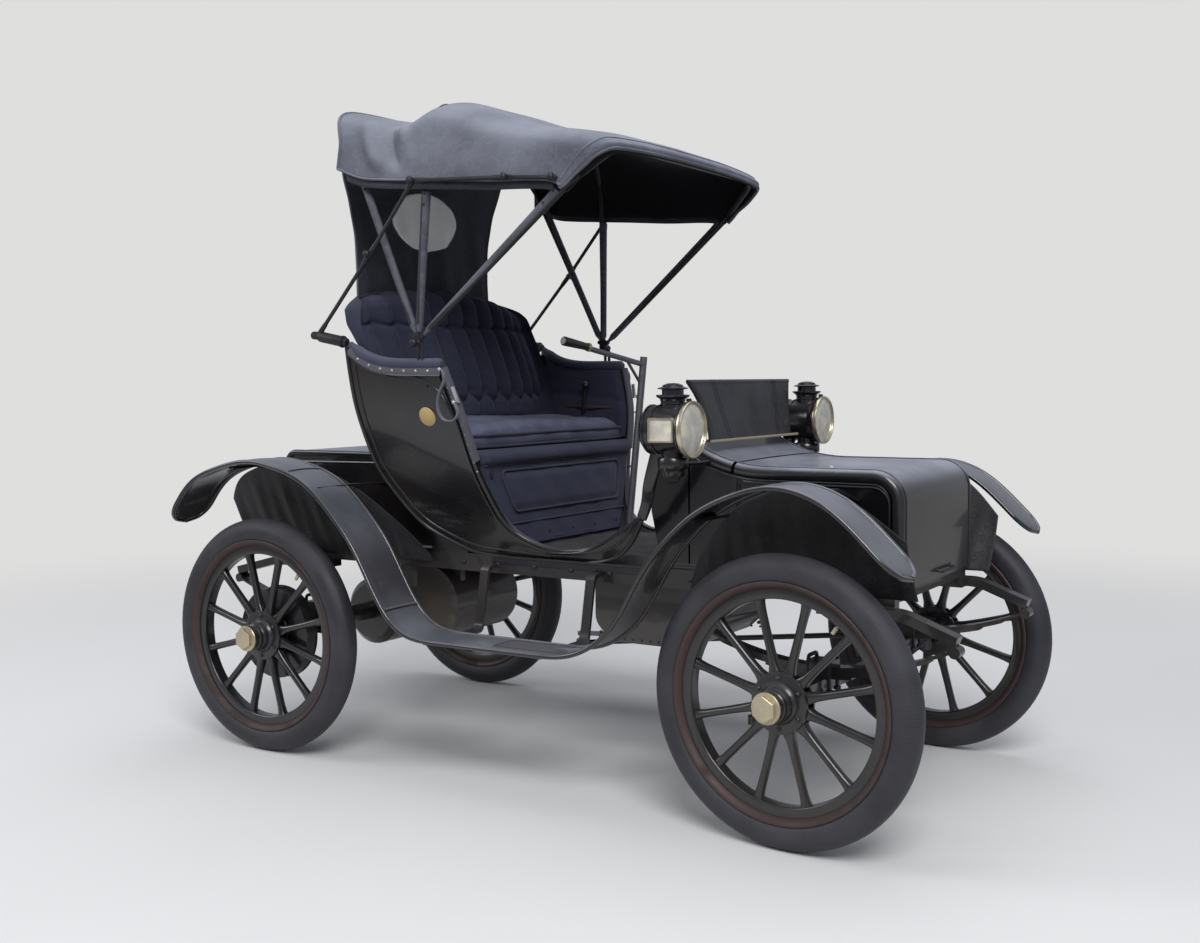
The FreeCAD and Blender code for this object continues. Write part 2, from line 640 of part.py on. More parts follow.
def make_steering():
    right = Vector(AXLE_X, -PIN_Y, S.tie_rod_z)
    left = Vector(AXLE_X, PIN_Y, S.tie_rod_z)
    make_knuckle("knuckle_right", -1)
    make_knuckle("knuckle_left", 1)
    swing = steered(TIE_ARM, S.rest_steer)
    make_link("tie_rod", left + swing, UP, right + swing, S.tie_rod_gap)
    # the tiller's post leans forward; its arm lies parallel to the knuckle's
    floor = Vector(S.tiller_floor_x, S.tiller_y, S.floor_top)
    top = Vector(S.tiller_top_x, S.tiller_y, S.tiller_top_z)
    axis = (top - floor).normalize()
    foot_z = S.drag_rear_z + S.tiller_arm_rise
    foot = floor - axis * ((S.floor_top - foot_z) / axis.z)
    swing = steered(DRAG_ARM, S.rest_steer)
    arm_end = foot + swing
    post = rod(foot - Vector(0, 0, 6), top + (top - foot).normalize() * 26, S.tiller_radius)
    arm = arm_bar(foot, arm_end, 26, 12)
    rear = arm_end - axis * (S.tiller_arm_rise / axis.z)
    stud = Part.makeCylinder(S.rod_pin_radius, S.tiller_arm_rise + S.rod_end_height,
                             rear - axis * (S.rod_end_height / 2 + 4), axis)
    grip_end = Vector(S.tiller_grip_x, S.tiller_grip_y, S.tiller_grip_z)
    grip_start = top + (grip_end - top) * 0.70
    lever = rod(top, grip_start, 9)
    brace_foot = top - (top - foot).normalize() * 70
    brace = rod(brace_foot, top + (grip_end - top) * 0.22, 5)
    feature("tiller", joined([post, arm, stud, lever, brace]))
    grip = rod(grip_start, grip_end, 14)
    ball = Part.makeSphere(15, grip_end)
    feature("tiller_grip", joined([grip, ball]))
    front = left + swing
    front.z = S.drag_front_z
    make_link("drag_link", rear, axis, front, S.open_pivot_gap)


make_steering()


# ------------------------------------------------------------------- chassis
RAIL_IN = S.frame_half_width - S.rail_width


def make_frame():
    pieces = [Part.makeBox(S.rail_front - S.rail_rear, S.rail_width, S.rail_top - S.rail_bottom,
                           Vector(S.rail_rear, -S.frame_half_width, S.rail_bottom))]
    pieces.append(mirrored(pieces[0]))
    for x in (S.rail_rear, -560.0, -150.0, 480.0, S.rail_front - 40):
        pieces.append(Part.makeBox(40, 2 * RAIL_IN, 40, Vector(x, -RAIL_IN, S.rail_bottom + 8)))
    for end, rail_end in ((1, S.rail_front), (-1, S.rail_rear)):
        eye_x = end * (AXLE_X + S.spring_reach)
        eye_z = FRONT_EYE_Z if end > 0 else REAR_EYE_Z
        # hook over the eye: the iron ends on top of it, beside nothing else
        path = [(rail_end - end * 200, S.rail_bottom - S.iron_thickness),
                (rail_end + end * 30, S.rail_bottom - S.iron_thickness, 120),
                (eye_x, eye_z + S.eye_radius)]
        if end < 0:
            path = path[::-1]
        iron = across(band(path, S.iron_thickness), SPRING_Y - S.leaf_width / 2,
                      SPRING_Y + S.leaf_width / 2)
        reach_in = Part.makeBox(200, SPRING_Y + S.leaf_width / 2 - RAIL_IN, S.iron_thickness,
                                Vector(rail_end - end * 100 - 100, RAIL_IN,
                                       S.rail_bottom - S.iron_thickness))
        pieces += [iron, mirrored(iron), reach_in, mirrored(reach_in)]
        # hanger down to the spring's inner eye
        inner_x = end * (AXLE_X - S.spring_reach)
        hanger = Part.makeBox(40, SPRING_Y + S.leaf_width / 2 - RAIL_IN,
                              S.rail_bottom - eye_z - S.eye_radius,
                              Vector(inner_x - 20, RAIL_IN, eye_z + S.eye_radius))
        pieces += [hanger, mirrored(hanger)]
    return feature("chassis_frame", joined(pieces))


make_frame()


def make_machinery():
    """Motor across the car ahead of the axle, case and battery boxes."""
    motor_x, motor_z, motor_radius = -575.0, 455.0, 125.0
    motor = Part.makeCylinder(motor_radius, 340, Vector(motor_x, -170, motor_z), Vector(0, 1, 0))
    straps = [Part.makeBox(2 * motor_radius * 0.8, 24, S.rail_bottom + 8 - motor_z,
                           Vector(motor_x - motor_radius * 0.8, y, motor_z)) for y in (-120, 96)]
    chain_case = Part.makeBox(AXLE_X + motor_x, 60, 150, Vector(-AXLE_X, 100, 340))
    chain_case = chain_case.cut(Part.makeCylinder(S.rear_axle_radius, 400,
                                Vector(-AXLE_X, 0, AXLE_Z), Vector(0, 1, 0)))
    feature("drive_motor", joined([motor, chain_case] + straps))
    outline = ((110, S.rail_bottom + 8), (110, 455, 60), (170, 400, 60), (440, 400, 60),
               (500, 455, 60), (500, S.rail_bottom + 8))
    case = across(Part.Face(rounded(outline)), -195, 195)
    feature("underbody_case", case)
    front = Part.makeBox(460, 500, 250, Vector(620, -250, S.rail_bottom + 48))
    rear = Part.makeBox(440, 500, 250, Vector(-1050, -250, S.rail_bottom + 48))
    feature("battery_boxes", Part.makeCompound([front, rear]))


make_machinery()


# ---------------------------------------------------------------------- body
def tub_arc(shrink):
    """The tub's flared side in the YZ plane, moved inwards by shrink."""
    # the arc starts under the tub, so that the outline trims its foot
    low = Vector(0, S.sill_half_width - 14 - shrink, S.rail_top - 20)
    middle = Vector(0, S.rail_half_width - shrink, S.seat_rail_height)
    high = Vector(0, S.arm_half_width - shrink, S.arm_height)
    return Part.Arc(low, middle, high)


def tub_section(outer, inner):
    """A face between two depths into the tub's left side, up to high_z."""
    first, second = tub_arc(outer), tub_arc(inner)
    edges = [first.toShape(), Part.LineSegment(first.EndPoint, second.EndPoint).toShape(),
             second.toShape(), Part.LineSegment(second.StartPoint, first.StartPoint).toShape()]
    return Part.Face(Part.Wire(Part.__sortEdges__(edges)))


def tub_inside(shrink):
    """The whole cross section of the tub's inside."""
    left = tub_arc(shrink)
    right = Part.Arc(*[Vector(0, -p.y, p.z) for p in
                       (left.EndPoint, left.value((left.FirstParameter + left.LastParameter) / 2),
                        left.StartPoint)])
    edges = [left.toShape(), Part.LineSegment(left.EndPoint, right.StartPoint).toShape(),
             right.toShape(), Part.LineSegment(right.EndPoint, left.StartPoint).toShape()]
    return Part.Face(Part.Wire(Part.__sortEdges__(edges)))


# side of the tub: x, z, corner radius
TUB_SIDE = (
    (-581, 1312), (-576, 1120, 150), (-545, 920, 150), (-440, 740, 110), (-270, S.rail_top, 90),
    (345, S.rail_top, 25), (395, 806, 20), (310, 765, 70), (170, 692, 90), (20, 682, 60),
    (-105, 740, 70), (-150, 920, 90), (-168, 1090, 90), (-215, S.arm_top, 14), (-420, S.arm_top, 120),
)
TUB_REAR = ((-270, S.rail_top), (-440, 740, 110), (-545, 920, 150), (-576, 1120, 150), (-581, 1312))


def side_y(z):
    """Half width of the tub's outer face at a height."""
    circle = tub_arc(0).toShape().Curve
    return circle.Center.y + math.sqrt(circle.Radius ** 2 - (z - circle.Center.z) ** 2)


def make_tub():
    """Flared sides cut to the slipper outline, and the curved back between them."""
    outline = Part.Face(rounded(TUB_SIDE))
    side = along(tub_section(0, S.panel), -760, 600).common(
        across(outline, 0, S.arm_half_width + 100))
    feature("seat_side_left", side)
    feature("seat_side_right", mirrored(side))
    back = across(band(TUB_REAR, -S.panel), -700, 700)
    inside = along(tub_inside(S.panel), -900, 600)
    # the upholstered back's stiff rear sheet stands on the tub's back
    sheet_face = band(((-581, 1300), (-606, 1330), (-674, 1462)), S.panel)
    sheet_outline = rounded(((-448, 1298), (448, 1298), (447, 1462, 90), (-447, 1462, 90)),
                            True, "YZ")
    sheet = across(sheet_face, -600, 600).common(along(Part.Face(sheet_outline), -900, 0))
    feature("seat_back_panel", joined([back.common(inside), sheet]))
    low = S.floor_top - S.floor_thickness
    floor = Part.makeBox(S.cowl_rear + 270 - 40, 2 * RAIL_IN, S.floor_thickness,
                         Vector(-270 + 20, -RAIL_IN, low))
    ledge = Part.makeBox(S.cowl_rear + 270 - 40, 2 * RAIL_IN, low - S.rail_bottom - 48,
                         Vector(-270 + 20, -RAIL_IN, S.rail_bottom + 48))
    lean = (S.tiller_top_x - S.tiller_floor_x) / (S.tiller_top_z - S.floor_top)
    slot = rod((S.tiller_floor_x - lean * 200, S.tiller_y, S.floor_top - 200),
               (S.tiller_floor_x + lean * 200, S.tiller_y, S.floor_top + 200),
               S.tiller_radius + S.post_gap)
    feature("floor_boards", floor.fuse(ledge).removeSplitter().cut(slot))


def make_seat():
    """Riser, cushion and tufted back as plain closed solids."""
    riser = band(((-105, S.floor_top), (-158, 985)), S.panel)
    inside = along(tub_inside(S.panel), -900, 600)
    above = Part.makeBox(1200, 1200, 700, Vector(-900, -600, S.floor_top))
    riser = across(riser, -500, 500).common(inside).common(above)
    cushion = rounded(((-530, 986), (-166, 986, 12), (-160, 1040, 20), (-190, 1060.5, 20), (-540, 1060.5)))
    inset = along(tub_inside(S.panel + 22), -900, 600)
    feature("seat_cushion", across(Part.Face(cushion), -500, 500).common(inset))
    seat_board = Part.Face(rounded(((-530, 966), (-178, 966), (-178, 985.6), (-530, 985.6))))
    seat_board = across(seat_board, -500, 500).common(inside)
    feature("seat_front_panel", Part.makeCompound([riser, seat_board]))
    profile = rounded(((-546, 1061), (-440, 1061, 30), (-480, 1200, 150), (-590, 1440, 20),
                       (-670.5, 1459, 8), (-604, 1331), (-580.5, 1313), (-560, 1313), (-559, 1200), (-553, 1130)))
    outline = rounded(((-440, 1000), (440, 1000), (452, 1250, 60), (445, 1456, 90),
                       (-445, 1456, 90), (-452, 1250, 60)), True, "YZ")
    feature("seat_back_cushion",
            across(Part.Face(profile), -600, 600).common(along(Part.Face(outline), -900, 0)))


make_tub()
make_seat()


def make_deck():
    """Box behind the seat with a lid hinged at its front edge."""
    half, wall = S.deck_half_width, S.panel
    low, high = S.rail_top, S.deck_height - S.lid_thickness
    outer = Part.Face(rounded(((S.deck_rear, low), (-300, low), (-300, high), (S.deck_rear, high, 40))))
    box_solid = across(outer, -half, half)
    hollow = Part.makeBox(1400, 2 * (half - wall), 1000,
                          Vector(S.deck_rear + wall, -(half - wall), low - 1))
    walls = box_solid.cut(hollow)
    back = across(Part.Face(rounded(list(TUB_REAR) + [(900, 1312), (900, 600)])), -900, 900)
    gap = S.lid_gap
    lid = band(((S.deck_rear - gap, high - 46), (S.deck_rear - gap, high + gap, 40 + gap),
                (S.deck_lid_front, high + gap)), S.lid_thickness - gap)
    feature("rear_deck_lid", across(lid, -half - 6, half + 6))
    bridge = Part.makeBox(-560 - S.deck_lid_front - 5, 2 * half + 12, S.lid_thickness,
                          Vector(S.deck_lid_front + 5, -half - 6, high))
    feature("rear_deck", joined([walls, bridge]).cut(back))


def make_hood():
    """Front box: side panels, a cowl under the dash and a bent lid."""
    half, wall, gap = S.hood_half_width, 12.0, S.lid_gap
    edge = S.hood_front - S.hood_sheet - gap
    top = S.hood_height - S.hood_sheet - gap
    side_outline = ((S.cowl_rear - 60, S.rail_top), (edge, S.rail_top), (edge, top, S.hood_corner - S.hood_sheet - gap),
                    (S.hood_hinge_x - 14, top), (S.hood_hinge_x - 62.3, S.cowl_height - 12.2, 40),
                    (S.cowl_rear + 40, S.cowl_height - 12), (S.cowl_rear - 60, S.rail_top + 170, 60))
    face = Part.Face(rounded(side_outline))
    side = across(face, half - wall, half)
    front = Part.makeBox(wall, 2 * (half - wall), 120, Vector(edge - wall, -(half - wall), S.rail_top))
    bulkhead = Part.makeBox(wall, 2 * (half - wall), S.cowl_height - 12 - S.rail_top,
                            Vector(S.hood_hinge_x - 110, -(half - wall), S.rail_top))
    cowl = band(((S.cowl_rear + 30, S.cowl_height - 11.9), (S.hood_hinge_x - 62, S.cowl_height - 11.9, 40),
                 (S.hood_hinge_x - 14, top + 0.3)), 11.9)
    cowl = across(cowl, -half - 2, half + 2)
    feature("hood_sides", Part.makeCompound([joined([side, mirrored(side), front, bulkhead]), cowl]))
    lid = band(((S.hood_front - S.hood_sheet, S.rail_top - 14),
                (S.hood_front - S.hood_sheet, S.hood_height - S.hood_sheet, S.hood_corner - S.hood_sheet),
                (S.hood_hinge_x, S.hood_height - S.hood_sheet)), -S.hood_sheet)
    feature("hood_lid", across(lid, -half, half))


def make_dash():
    """Leather covered board that widens and leans back as it rises."""
    base = [Vector(S.dash_base_x + dx, y, S.cowl_height) for dx, y in (
        (0, -S.dash_base_half), (S.dash_thickness, -S.dash_base_half),
        (S.dash_thickness, S.dash_base_half), (0, S.dash_base_half))]
    top = [Vector(S.dash_top_x + dx, y, S.dash_top) for dx, y in (
        (0, -S.dash_top_half), (S.dash_thickness, -S.dash_top_half),
        (S.dash_thickness, S.dash_top_half), (0, S.dash_top_half))]
    wires = [Part.makePolygon(ring + ring[:1]) for ring in (base, top)]
    feature("dash_board", Part.makeLoft(wires, True, True))


make_deck()
make_hood()
make_dash()

# ------------------------------------------------------------------- fenders
# one ribbon's lower face from its rear tip to its front tip: x, z, radius
FENDER_PATH = (
    (-1290, 734), (-1175, 888, 150), (-905, 962, 260), (-660, 900, 200), (-470, 715, 200),
    (-375, 545, 150), (-290, S.step_height - 5, 90), (325, S.step_height - 5, 110),
    (455, 520, 120), (560, 715, 150), (700, 862, 200), (925, 950, 200), (1075, 890, 120),
    (1250, 716),
)
# x of a stay from the body to a fender, and the height of its root on the body
STAYS = ((-1010.0, 900.0), (-640.0, 870.0), (680.0, 820.0), (1000.0, 880.0))


def rounded_ends(ribbon):
    """The ribbon with its two ends rounded in plan."""
    radius = S.fender_tip_radius
    corners = ((FENDER_PATH[0][0] - S.fender_sheet, S.fender_inner, radius),
               (FENDER_PATH[-1][0] + S.fender_sheet, S.fender_inner, radius),
               (FENDER_PATH[-1][0] + S.fender_sheet, S.fender_outer, radius),
               (FENDER_PATH[0][0] - S.fender_sheet, S.fender_outer, radius))
    plan = Part.Face(rounded(corners, True, "XY"))
    return ribbon.common(plan.extrude(Vector(0, 0, 2 * S.fender_outer + S.deck_height)))


def ribbon_height(ribbon, x):
    """Height of the ribbon's lower face at x."""
    y = (S.fender_inner + S.fender_outer) / 2
    probe = Part.makeLine(Vector(x, y, 0), Vector(x, y, 1500))
    return ribbon.common(probe).BoundBox.ZMin


def make_fenders():
    ribbon = rounded_ends(across(band(FENDER_PATH, S.fender_sheet), S.fender_inner, S.fender_outer))
    feature("fender_left", ribbon)
    feature("fender_right", mirrored(ribbon))
    step_pad = Part.makeBox(S.step_pad_length,
                            S.fender_outer - S.fender_inner - 2 * S.step_pad_margin, S.pad_thickness,
                            Vector(S.step_pad_rear, S.fender_inner + S.step_pad_margin, S.step_height))
    feature("step_pads", both_sides(step_pad))
    irons = []
    under_step = S.step_height - 5
    for x in (-210.0, 180.0):
        path = ((S.frame_half_width, S.rail_bottom + 30),
                (S.frame_half_width + 50, S.rail_bottom + 30, 24),
                (S.frame_half_width + 90, under_step, 30), (S.fender_outer - 20, under_step))
        iron = along(band(path, -10, "YZ"), x, x + 30)
        irons.append(iron)
    for x, root in STAYS:
        z = ribbon_height(ribbon, x)
        path = ((S.deck_half_width if x < 0 else S.hood_half_width, root), (S.fender_inner - 60, z - 1, 40),
                (S.fender_outer - 30, z - 1))
        irons.append(along(band(path, -8, "YZ"), x - 12, x + 12).cut(ribbon))
    feature("fender_irons", both_sides(Part.makeCompound(irons)))
    # leather aprons slope from the fenders' inner edges down to the frame
    slope = band(((S.frame_half_width + 6, S.rail_bottom + 14), (S.fender_inner + 4, 960)), -4, "YZ")
    under = Part.Face(rounded(tuple(FENDER_PATH) + ((1250, 560), (-1290, 560))))
    under = across(under, 0, 900)
    aprons = []
    for low, high in ((-1240, -505), (600, 1180)):
        apron = along(slope, low, high).common(under)
        for iron in irons:
            apron = apron.cut(iron)
        aprons.append(max(apron.Solids, key=lambda solid: solid.Volume))
    feature("fender_aprons", both_sides(Part.makeCompound(aprons)))


make_fenders()


# ---------------------------------------------------------------------- lamps
def lathe(profile, foot, axis=Vector(0, 0, 1)):
    """A solid turned from rows of radius and height above its foot."""
    corners = [Vector(radius, 0, height) for radius, height in profile]
    solid = Part.Face(Part.makePolygon(corners + corners[:1])).revolve(Vector(), Vector(0, 0, 1), 360)
    solid.Placement = Placement(foot, Rotation(Vector(0, 0, 1), axis))
    return solid


# radius and height over the lamp's middle: chimney with its brim and cap, and oil pot
CHIMNEY = ((0, 0), (34, 0), (34, 83), (46, 91), (46, 96), (30, 97), (30, 109), (42, 111),
           (42, 114), (27, 122), (0, 127))
OIL_POT = ((0, -130), (32, -130), (32, -112), (43, -103), (43, -80), (30, -74), (30, 0), (0, 0))


def make_lamp(label, side):
    """Drum along X with a front rim and two bands, a chimney, an oil pot and a side window."""
    back = Vector(S.lamp_x - S.lamp_length, side * S.lamp_y, S.lamp_z)
    middle = Vector(S.lamp_x - S.lamp_chimney, side * S.lamp_y, S.lamp_z)
    ahead = Vector(1, 0, 0)
    wide, narrow, deep = S.lamp_rim_radius, S.lamp_body_radius, S.lamp_length
    drum = lathe(((0, 0), (narrow - 10, 6), (narrow, 17), (narrow + 3, 18), (narrow + 3, 23),
                  (narrow, 24), (narrow, 42), (narrow + 3, 43), (narrow + 3, 47), (narrow, 48),
                  (narrow, deep - 40), (wide - 3, deep - 24), (wide, deep - 18), (wide, deep - 3),
                  (wide - 3, deep), (0, deep)), back, ahead)
    opening = wide - S.lamp_glass_margin
    glass_back = Vector(S.lamp_x - S.lamp_glass_inset, side * S.lamp_y, S.lamp_z)
    hollow = Part.makeCylinder(opening, 2 * S.lamp_glass_inset, glass_back, ahead)
    window = Part.makeBox(S.lamp_window_width, 20, S.lamp_window_height,
                          middle + Vector(-S.lamp_window_width / 2, side * (narrow - 4) - 10,
                                          -S.lamp_window_height / 2))
    drop = Vector(0, 0, -S.lamp_bracket_drop)
    root = Vector(middle.x, side * S.hood_half_width, middle.z) + drop
    arm = [rod(root, middle + drop + Vector(0, side * (S.lamp_bracket_radius - 1), 0),
               S.lamp_bracket_radius),
           rod(middle + drop - Vector(0, 0, S.lamp_bracket_radius / 2), middle - Vector(0, 0, 120),
               S.lamp_bracket_radius)]
    body_shape = joined([drum, lathe(CHIMNEY, middle), lathe(OIL_POT, middle), window] + arm)
    feature(label, body_shape.cut(hollow))
    return Part.makeCylinder(opening, S.lamp_glass_thickness, glass_back, ahead)


glasses = [make_lamp("lamp_right", -1), make_lamp("lamp_left", 1)]
feature("lamp_glasses", Part.makeCompound(glasses))

# ---------------------------------------------------------------- folding top
# bow, x at its top, z at its top
BOWS = (("bow_rear", -643.0, 2042.0), ("bow_middle", -283.0, 2036.0), ("bow_front", 346.0, 1856.0))
EAVE_HALF = 492.0
BOW_FOOT = 0.07


def bow_point(top_x, top_z, y, share):
    """A point on a bow's plane: share 0 at the pivot, 1 at the roof."""
    return Vector(S.top_pivot_x + (top_x - S.top_pivot_x) * share, y,
                  S.top_pivot_z + (top_z - S.top_pivot_z) * share)


def tube(points, radius, bend):
    """A round bar along straight runs with tangent bends."""
    corners = [Vector(*p) for p in points]
    edges, start = [], corners[0]
    for before, corner, after in zip(corners, corners[1:], corners[2:]):
        back, ahead = (before - corner).normalize(), (after - corner).normalize()
        half = back.getAngle(ahead) / 2
        reach = bend / math.tan(half)
        middle = corner + (back + ahead).normalize() * (bend / math.sin(half) - bend)
        edges.append(Part.LineSegment(start, corner + back * reach).toShape())
        edges.append(Part.Arc(corner + back * reach, middle, corner + ahead * reach).toShape())
        start = corner + ahead * reach
    edges.append(Part.LineSegment(start, corners[-1]).toShape())
    path = Part.Wire(edges)
    ring = Part.Wire([Part.Circle(corners[0], corners[1] - corners[0], radius).toShape()])
    return path.makePipeShell([ring], True, False)


def polyhedron(rings):
    """A closed solid of flat triangles through rings of as many corners each."""
    facets = []

    def triangle(a, b, c):
        facets.append(Part.Face(Part.makePolygon([a, b, c, a])))

    for first, second in zip(rings, rings[1:]):
        for index in range(len(first)):
            after = (index + 1) % len(first)
            triangle(first[index], first[after], second[after])
            triangle(first[index], second[after], second[index])
    for ring in (rings[0], rings[-1]):
        count = len(ring)
        for index in range(count // 2 - 1):
            a, b, c, d = ring[index], ring[index + 1], ring[count - 2 - index], ring[count - 1 - index]
            triangle(a, b, c)
            triangle(a, c, d)
    shell = Part.Shell(facets)
    shell.sewShape()
    solid = Part.Solid(shell)
    return solid if solid.Volume > 0 else solid.reversed()


def make_top():
    for label, top_x, top_z in BOWS:
        points = [bow_point(top_x, top_z, -S.top_pivot_y, BOW_FOOT),
                  bow_point(top_x, top_z, -EAVE_HALF, 0.80), bow_point(top_x, top_z, -EAVE_HALF + 64, 1.0),
                  bow_point(top_x, top_z, EAVE_HALF - 64, 1.0), bow_point(top_x, top_z, EAVE_HALF, 0.80),
                  bow_point(top_x, top_z, S.top_pivot_y, BOW_FOOT)]
        feature(label, tube(points, S.bow_radius, 60))
    # cover: U-shaped sections over the bows and one valley between
    sections = (
        # x and z of the eave, half width there, x and z of the roof, half width there
        (-600.0, 1850.0, 545.0, -690.0, 2040.0, 470.0),
        (-555.0, 1850.0, 545.0, -640.0, 2060.0, 450.0),
        (-425.0, 1805.0, 540.0, -420.0, 2005.0, 440.0),
        (-283.0, 1795.0, 538.0, -283.0, 2058.0, 440.0),
        (208.0, 1748.0, 532.0, 352.0, 1878.0, 450.0),
    )
    rings = []
    for eave_x, eave_z, eave_half, roof_x, roof_z, roof_half in sections:
        corner_x = eave_x * 0.3 + roof_x * 0.7
        corner_z = eave_z * 0.3 + roof_z * 0.7
        wall = S.cover_thickness
        outer = [Vector(eave_x, eave_half, eave_z), Vector(corner_x, eave_half - 12, corner_z),
                 Vector(roof_x, roof_half, roof_z), Vector(roof_x, 0, roof_z + 4)]
        inner = [Vector(eave_x, eave_half - wall, eave_z),
                 Vector(corner_x, eave_half - 12 - wall, corner_z - wall / 2),
                 Vector(roof_x, roof_half - wall / 2, roof_z - wall),
                 Vector(roof_x, 0, roof_z + 4 - wall)]
        rings.append(outer + inner[::-1])
    half = polyhedron(rings)
    feature("roof_cover", half.fuse(mirrored(half)).removeSplitter())
    profile = band(((-646.2, 2046), (-700, 1850, 200), (-706, 1480)), -S.cover_thickness)
    outline = rounded(((-440, 2032), (-400, 1850), (-385, 1640), (-357, 1478), (357, 1478),
                       (385, 1640), (400, 1850), (440, 2032)), True, "YZ")
    ellipse = Part.Ellipse(Vector(0, 164, 1750), Vector(0, 0, 1842), Vector(0, 0, 1750)).toShape()
    oval = along(Part.Face(Part.Wire([ellipse])), -900, 0)
    curtain = across(profile, -600, 600).common(along(Part.Face(outline), -900, 0))
    feature("back_curtain", curtain.cut(oval))
    feature("curtain_window", curtain.common(oval))
    # jointed irons lie outside the bows, pinned to the middle and front ones
    joints = ((-685, 547, 1350), (-470, 529.5, 1590), (-300, 516.5, 1800), (45, 512.5, 1781),
              (205, 510.5, 1766))
    irons = [rod(first, second, 8) for first, second in zip(joints, joints[1:])]
    irons += [Part.makeSphere(12 if 0 < index < 4 else 9, Vector(*joint))
              for index, joint in enumerate(joints) if index != 2]
    irons.append(rod((-572, 533, 1323.3), (-704, 548, 1350), 11))
    irons.append(rod((-292, 508.0, 1800), (-292, 526, 1800), 9))
    pivot = Part.makeCylinder(60, 6, Vector(S.top_pivot_x, S.top_pivot_y + S.bow_radius + 0.2,
                                            S.top_pivot_z), Vector(0, 1, 0))
    post = rod((S.top_pivot_x, 534, S.arm_top + S.top_seat_gap),
               (S.top_pivot_x, S.top_pivot_y + S.bow_radius, S.top_pivot_z), 8)
    feature("top_side_irons", Part.makeCompound([both_sides(joined(irons)),
                                                 both_sides(joined([pivot, post]))]))


make_top()


def make_fittings():
    """Control lever beside the seat, arm rails and grab handles."""
    root = side_y(1090) - S.panel
    lever = joined([rod((-352, root - 2.1, 1090), (-352, root - 26, 1090), 7),
                    rod((-352, root - 26, 1084), (-338, root - 30, 1176), 6),
                    Part.makeSphere(13, Vector(-337, root - 30, 1184))])
    feature("control_lever", lever)
    # hanging loop of strap: x, z, radius, from its stud at the arm's corner to the front edge
    loop = ((-224, 1236), (-200, 1231, 9), (-224, 1160, 60), (-224, 1090, 32), (-150, 1086, 28),
            (-150, 1128, 16), (-197, 1151))
    inner_face = side_y(loop[0][1]) + S.strap_stand_off
    strap = [across(band(loop, S.strap_thickness), inner_face, inner_face + S.strap_width)]
    for x, z in (loop[0], loop[-1]):
        foot = side_y(z + S.strap_stud_radius) + S.bearing_gap
        strap.append(rod((x, foot, z), (x, inner_face + S.strap_width, z), S.strap_stud_radius))
    feature("grab_handles", both_sides(joined(strap)))


make_fittings()

doc.recompute()
for item in doc.Objects:
    bad = [word for word in item.State if word in ("Invalid", "Error")]
    if bad:
        raise SystemExit("%s: %s" % (item.Label, bad))
os.makedirs("parts", exist_ok=True)
for item in subparts:
    shape = item.Shape
    if shape.isNull() or not shape.isValid() or not shape.Solids:
        raise SystemExit("%s has no valid shape" % item.Label)
    shape.exportStep(os.path.join("parts", item.Label + ".step"))
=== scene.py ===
"""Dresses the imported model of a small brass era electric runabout.

Laid out as an add-on and run as a script: each operator makes one group of pieces over the
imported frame, in metres, with X ahead, Y to the left and Z up.
"""
import json
from math import pi, radians

import bmesh
import bpy
import numpy as np
from mathutils import Matrix, Vector


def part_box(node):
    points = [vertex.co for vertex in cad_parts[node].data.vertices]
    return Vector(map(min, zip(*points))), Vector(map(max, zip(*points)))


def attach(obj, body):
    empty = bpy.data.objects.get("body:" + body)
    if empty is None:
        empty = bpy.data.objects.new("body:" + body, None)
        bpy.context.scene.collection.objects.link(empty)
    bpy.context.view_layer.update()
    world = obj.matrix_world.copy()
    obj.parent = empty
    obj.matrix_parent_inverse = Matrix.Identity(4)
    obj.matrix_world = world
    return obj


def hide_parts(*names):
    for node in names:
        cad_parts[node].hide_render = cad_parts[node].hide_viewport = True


bl_info = {
    "name": "Runabout Dressing",
    "version": (1, 0, 0),
    "blender": (4, 5, 0),
    "location": "3D View > Sidebar > Runabout",
    "description": "Makes the wheels, upholstery, folding top and trim of an electric runabout",
    "category": "Object",
}

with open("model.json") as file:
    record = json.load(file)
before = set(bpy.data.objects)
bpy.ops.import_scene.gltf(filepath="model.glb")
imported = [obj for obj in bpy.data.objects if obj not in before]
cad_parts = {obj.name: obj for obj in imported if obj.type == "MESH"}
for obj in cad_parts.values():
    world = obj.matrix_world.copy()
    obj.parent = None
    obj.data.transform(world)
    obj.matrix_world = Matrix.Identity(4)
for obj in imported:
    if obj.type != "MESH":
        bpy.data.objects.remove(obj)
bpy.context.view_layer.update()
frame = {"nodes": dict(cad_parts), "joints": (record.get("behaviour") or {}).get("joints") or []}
JOINTS = {joint["child"]: joint for joint in frame["joints"]}
CORNERS = ("front_right", "front_left", "rear_right", "rear_left")
SIDES = (-1, 1)


# ------------------------------------------------------------------ surfaces
def unit(vectors):
    """Each vector divided by its own length."""
    vectors = np.asarray(vectors, float)
    return vectors / np.maximum(np.linalg.norm(vectors, axis=-1, keepdims=True), 1e-12)


def distances(points):
    """Each point's distance along the line from its first."""
    return np.r_[0, np.cumsum(np.linalg.norm(np.diff(points, axis=0), axis=1))]


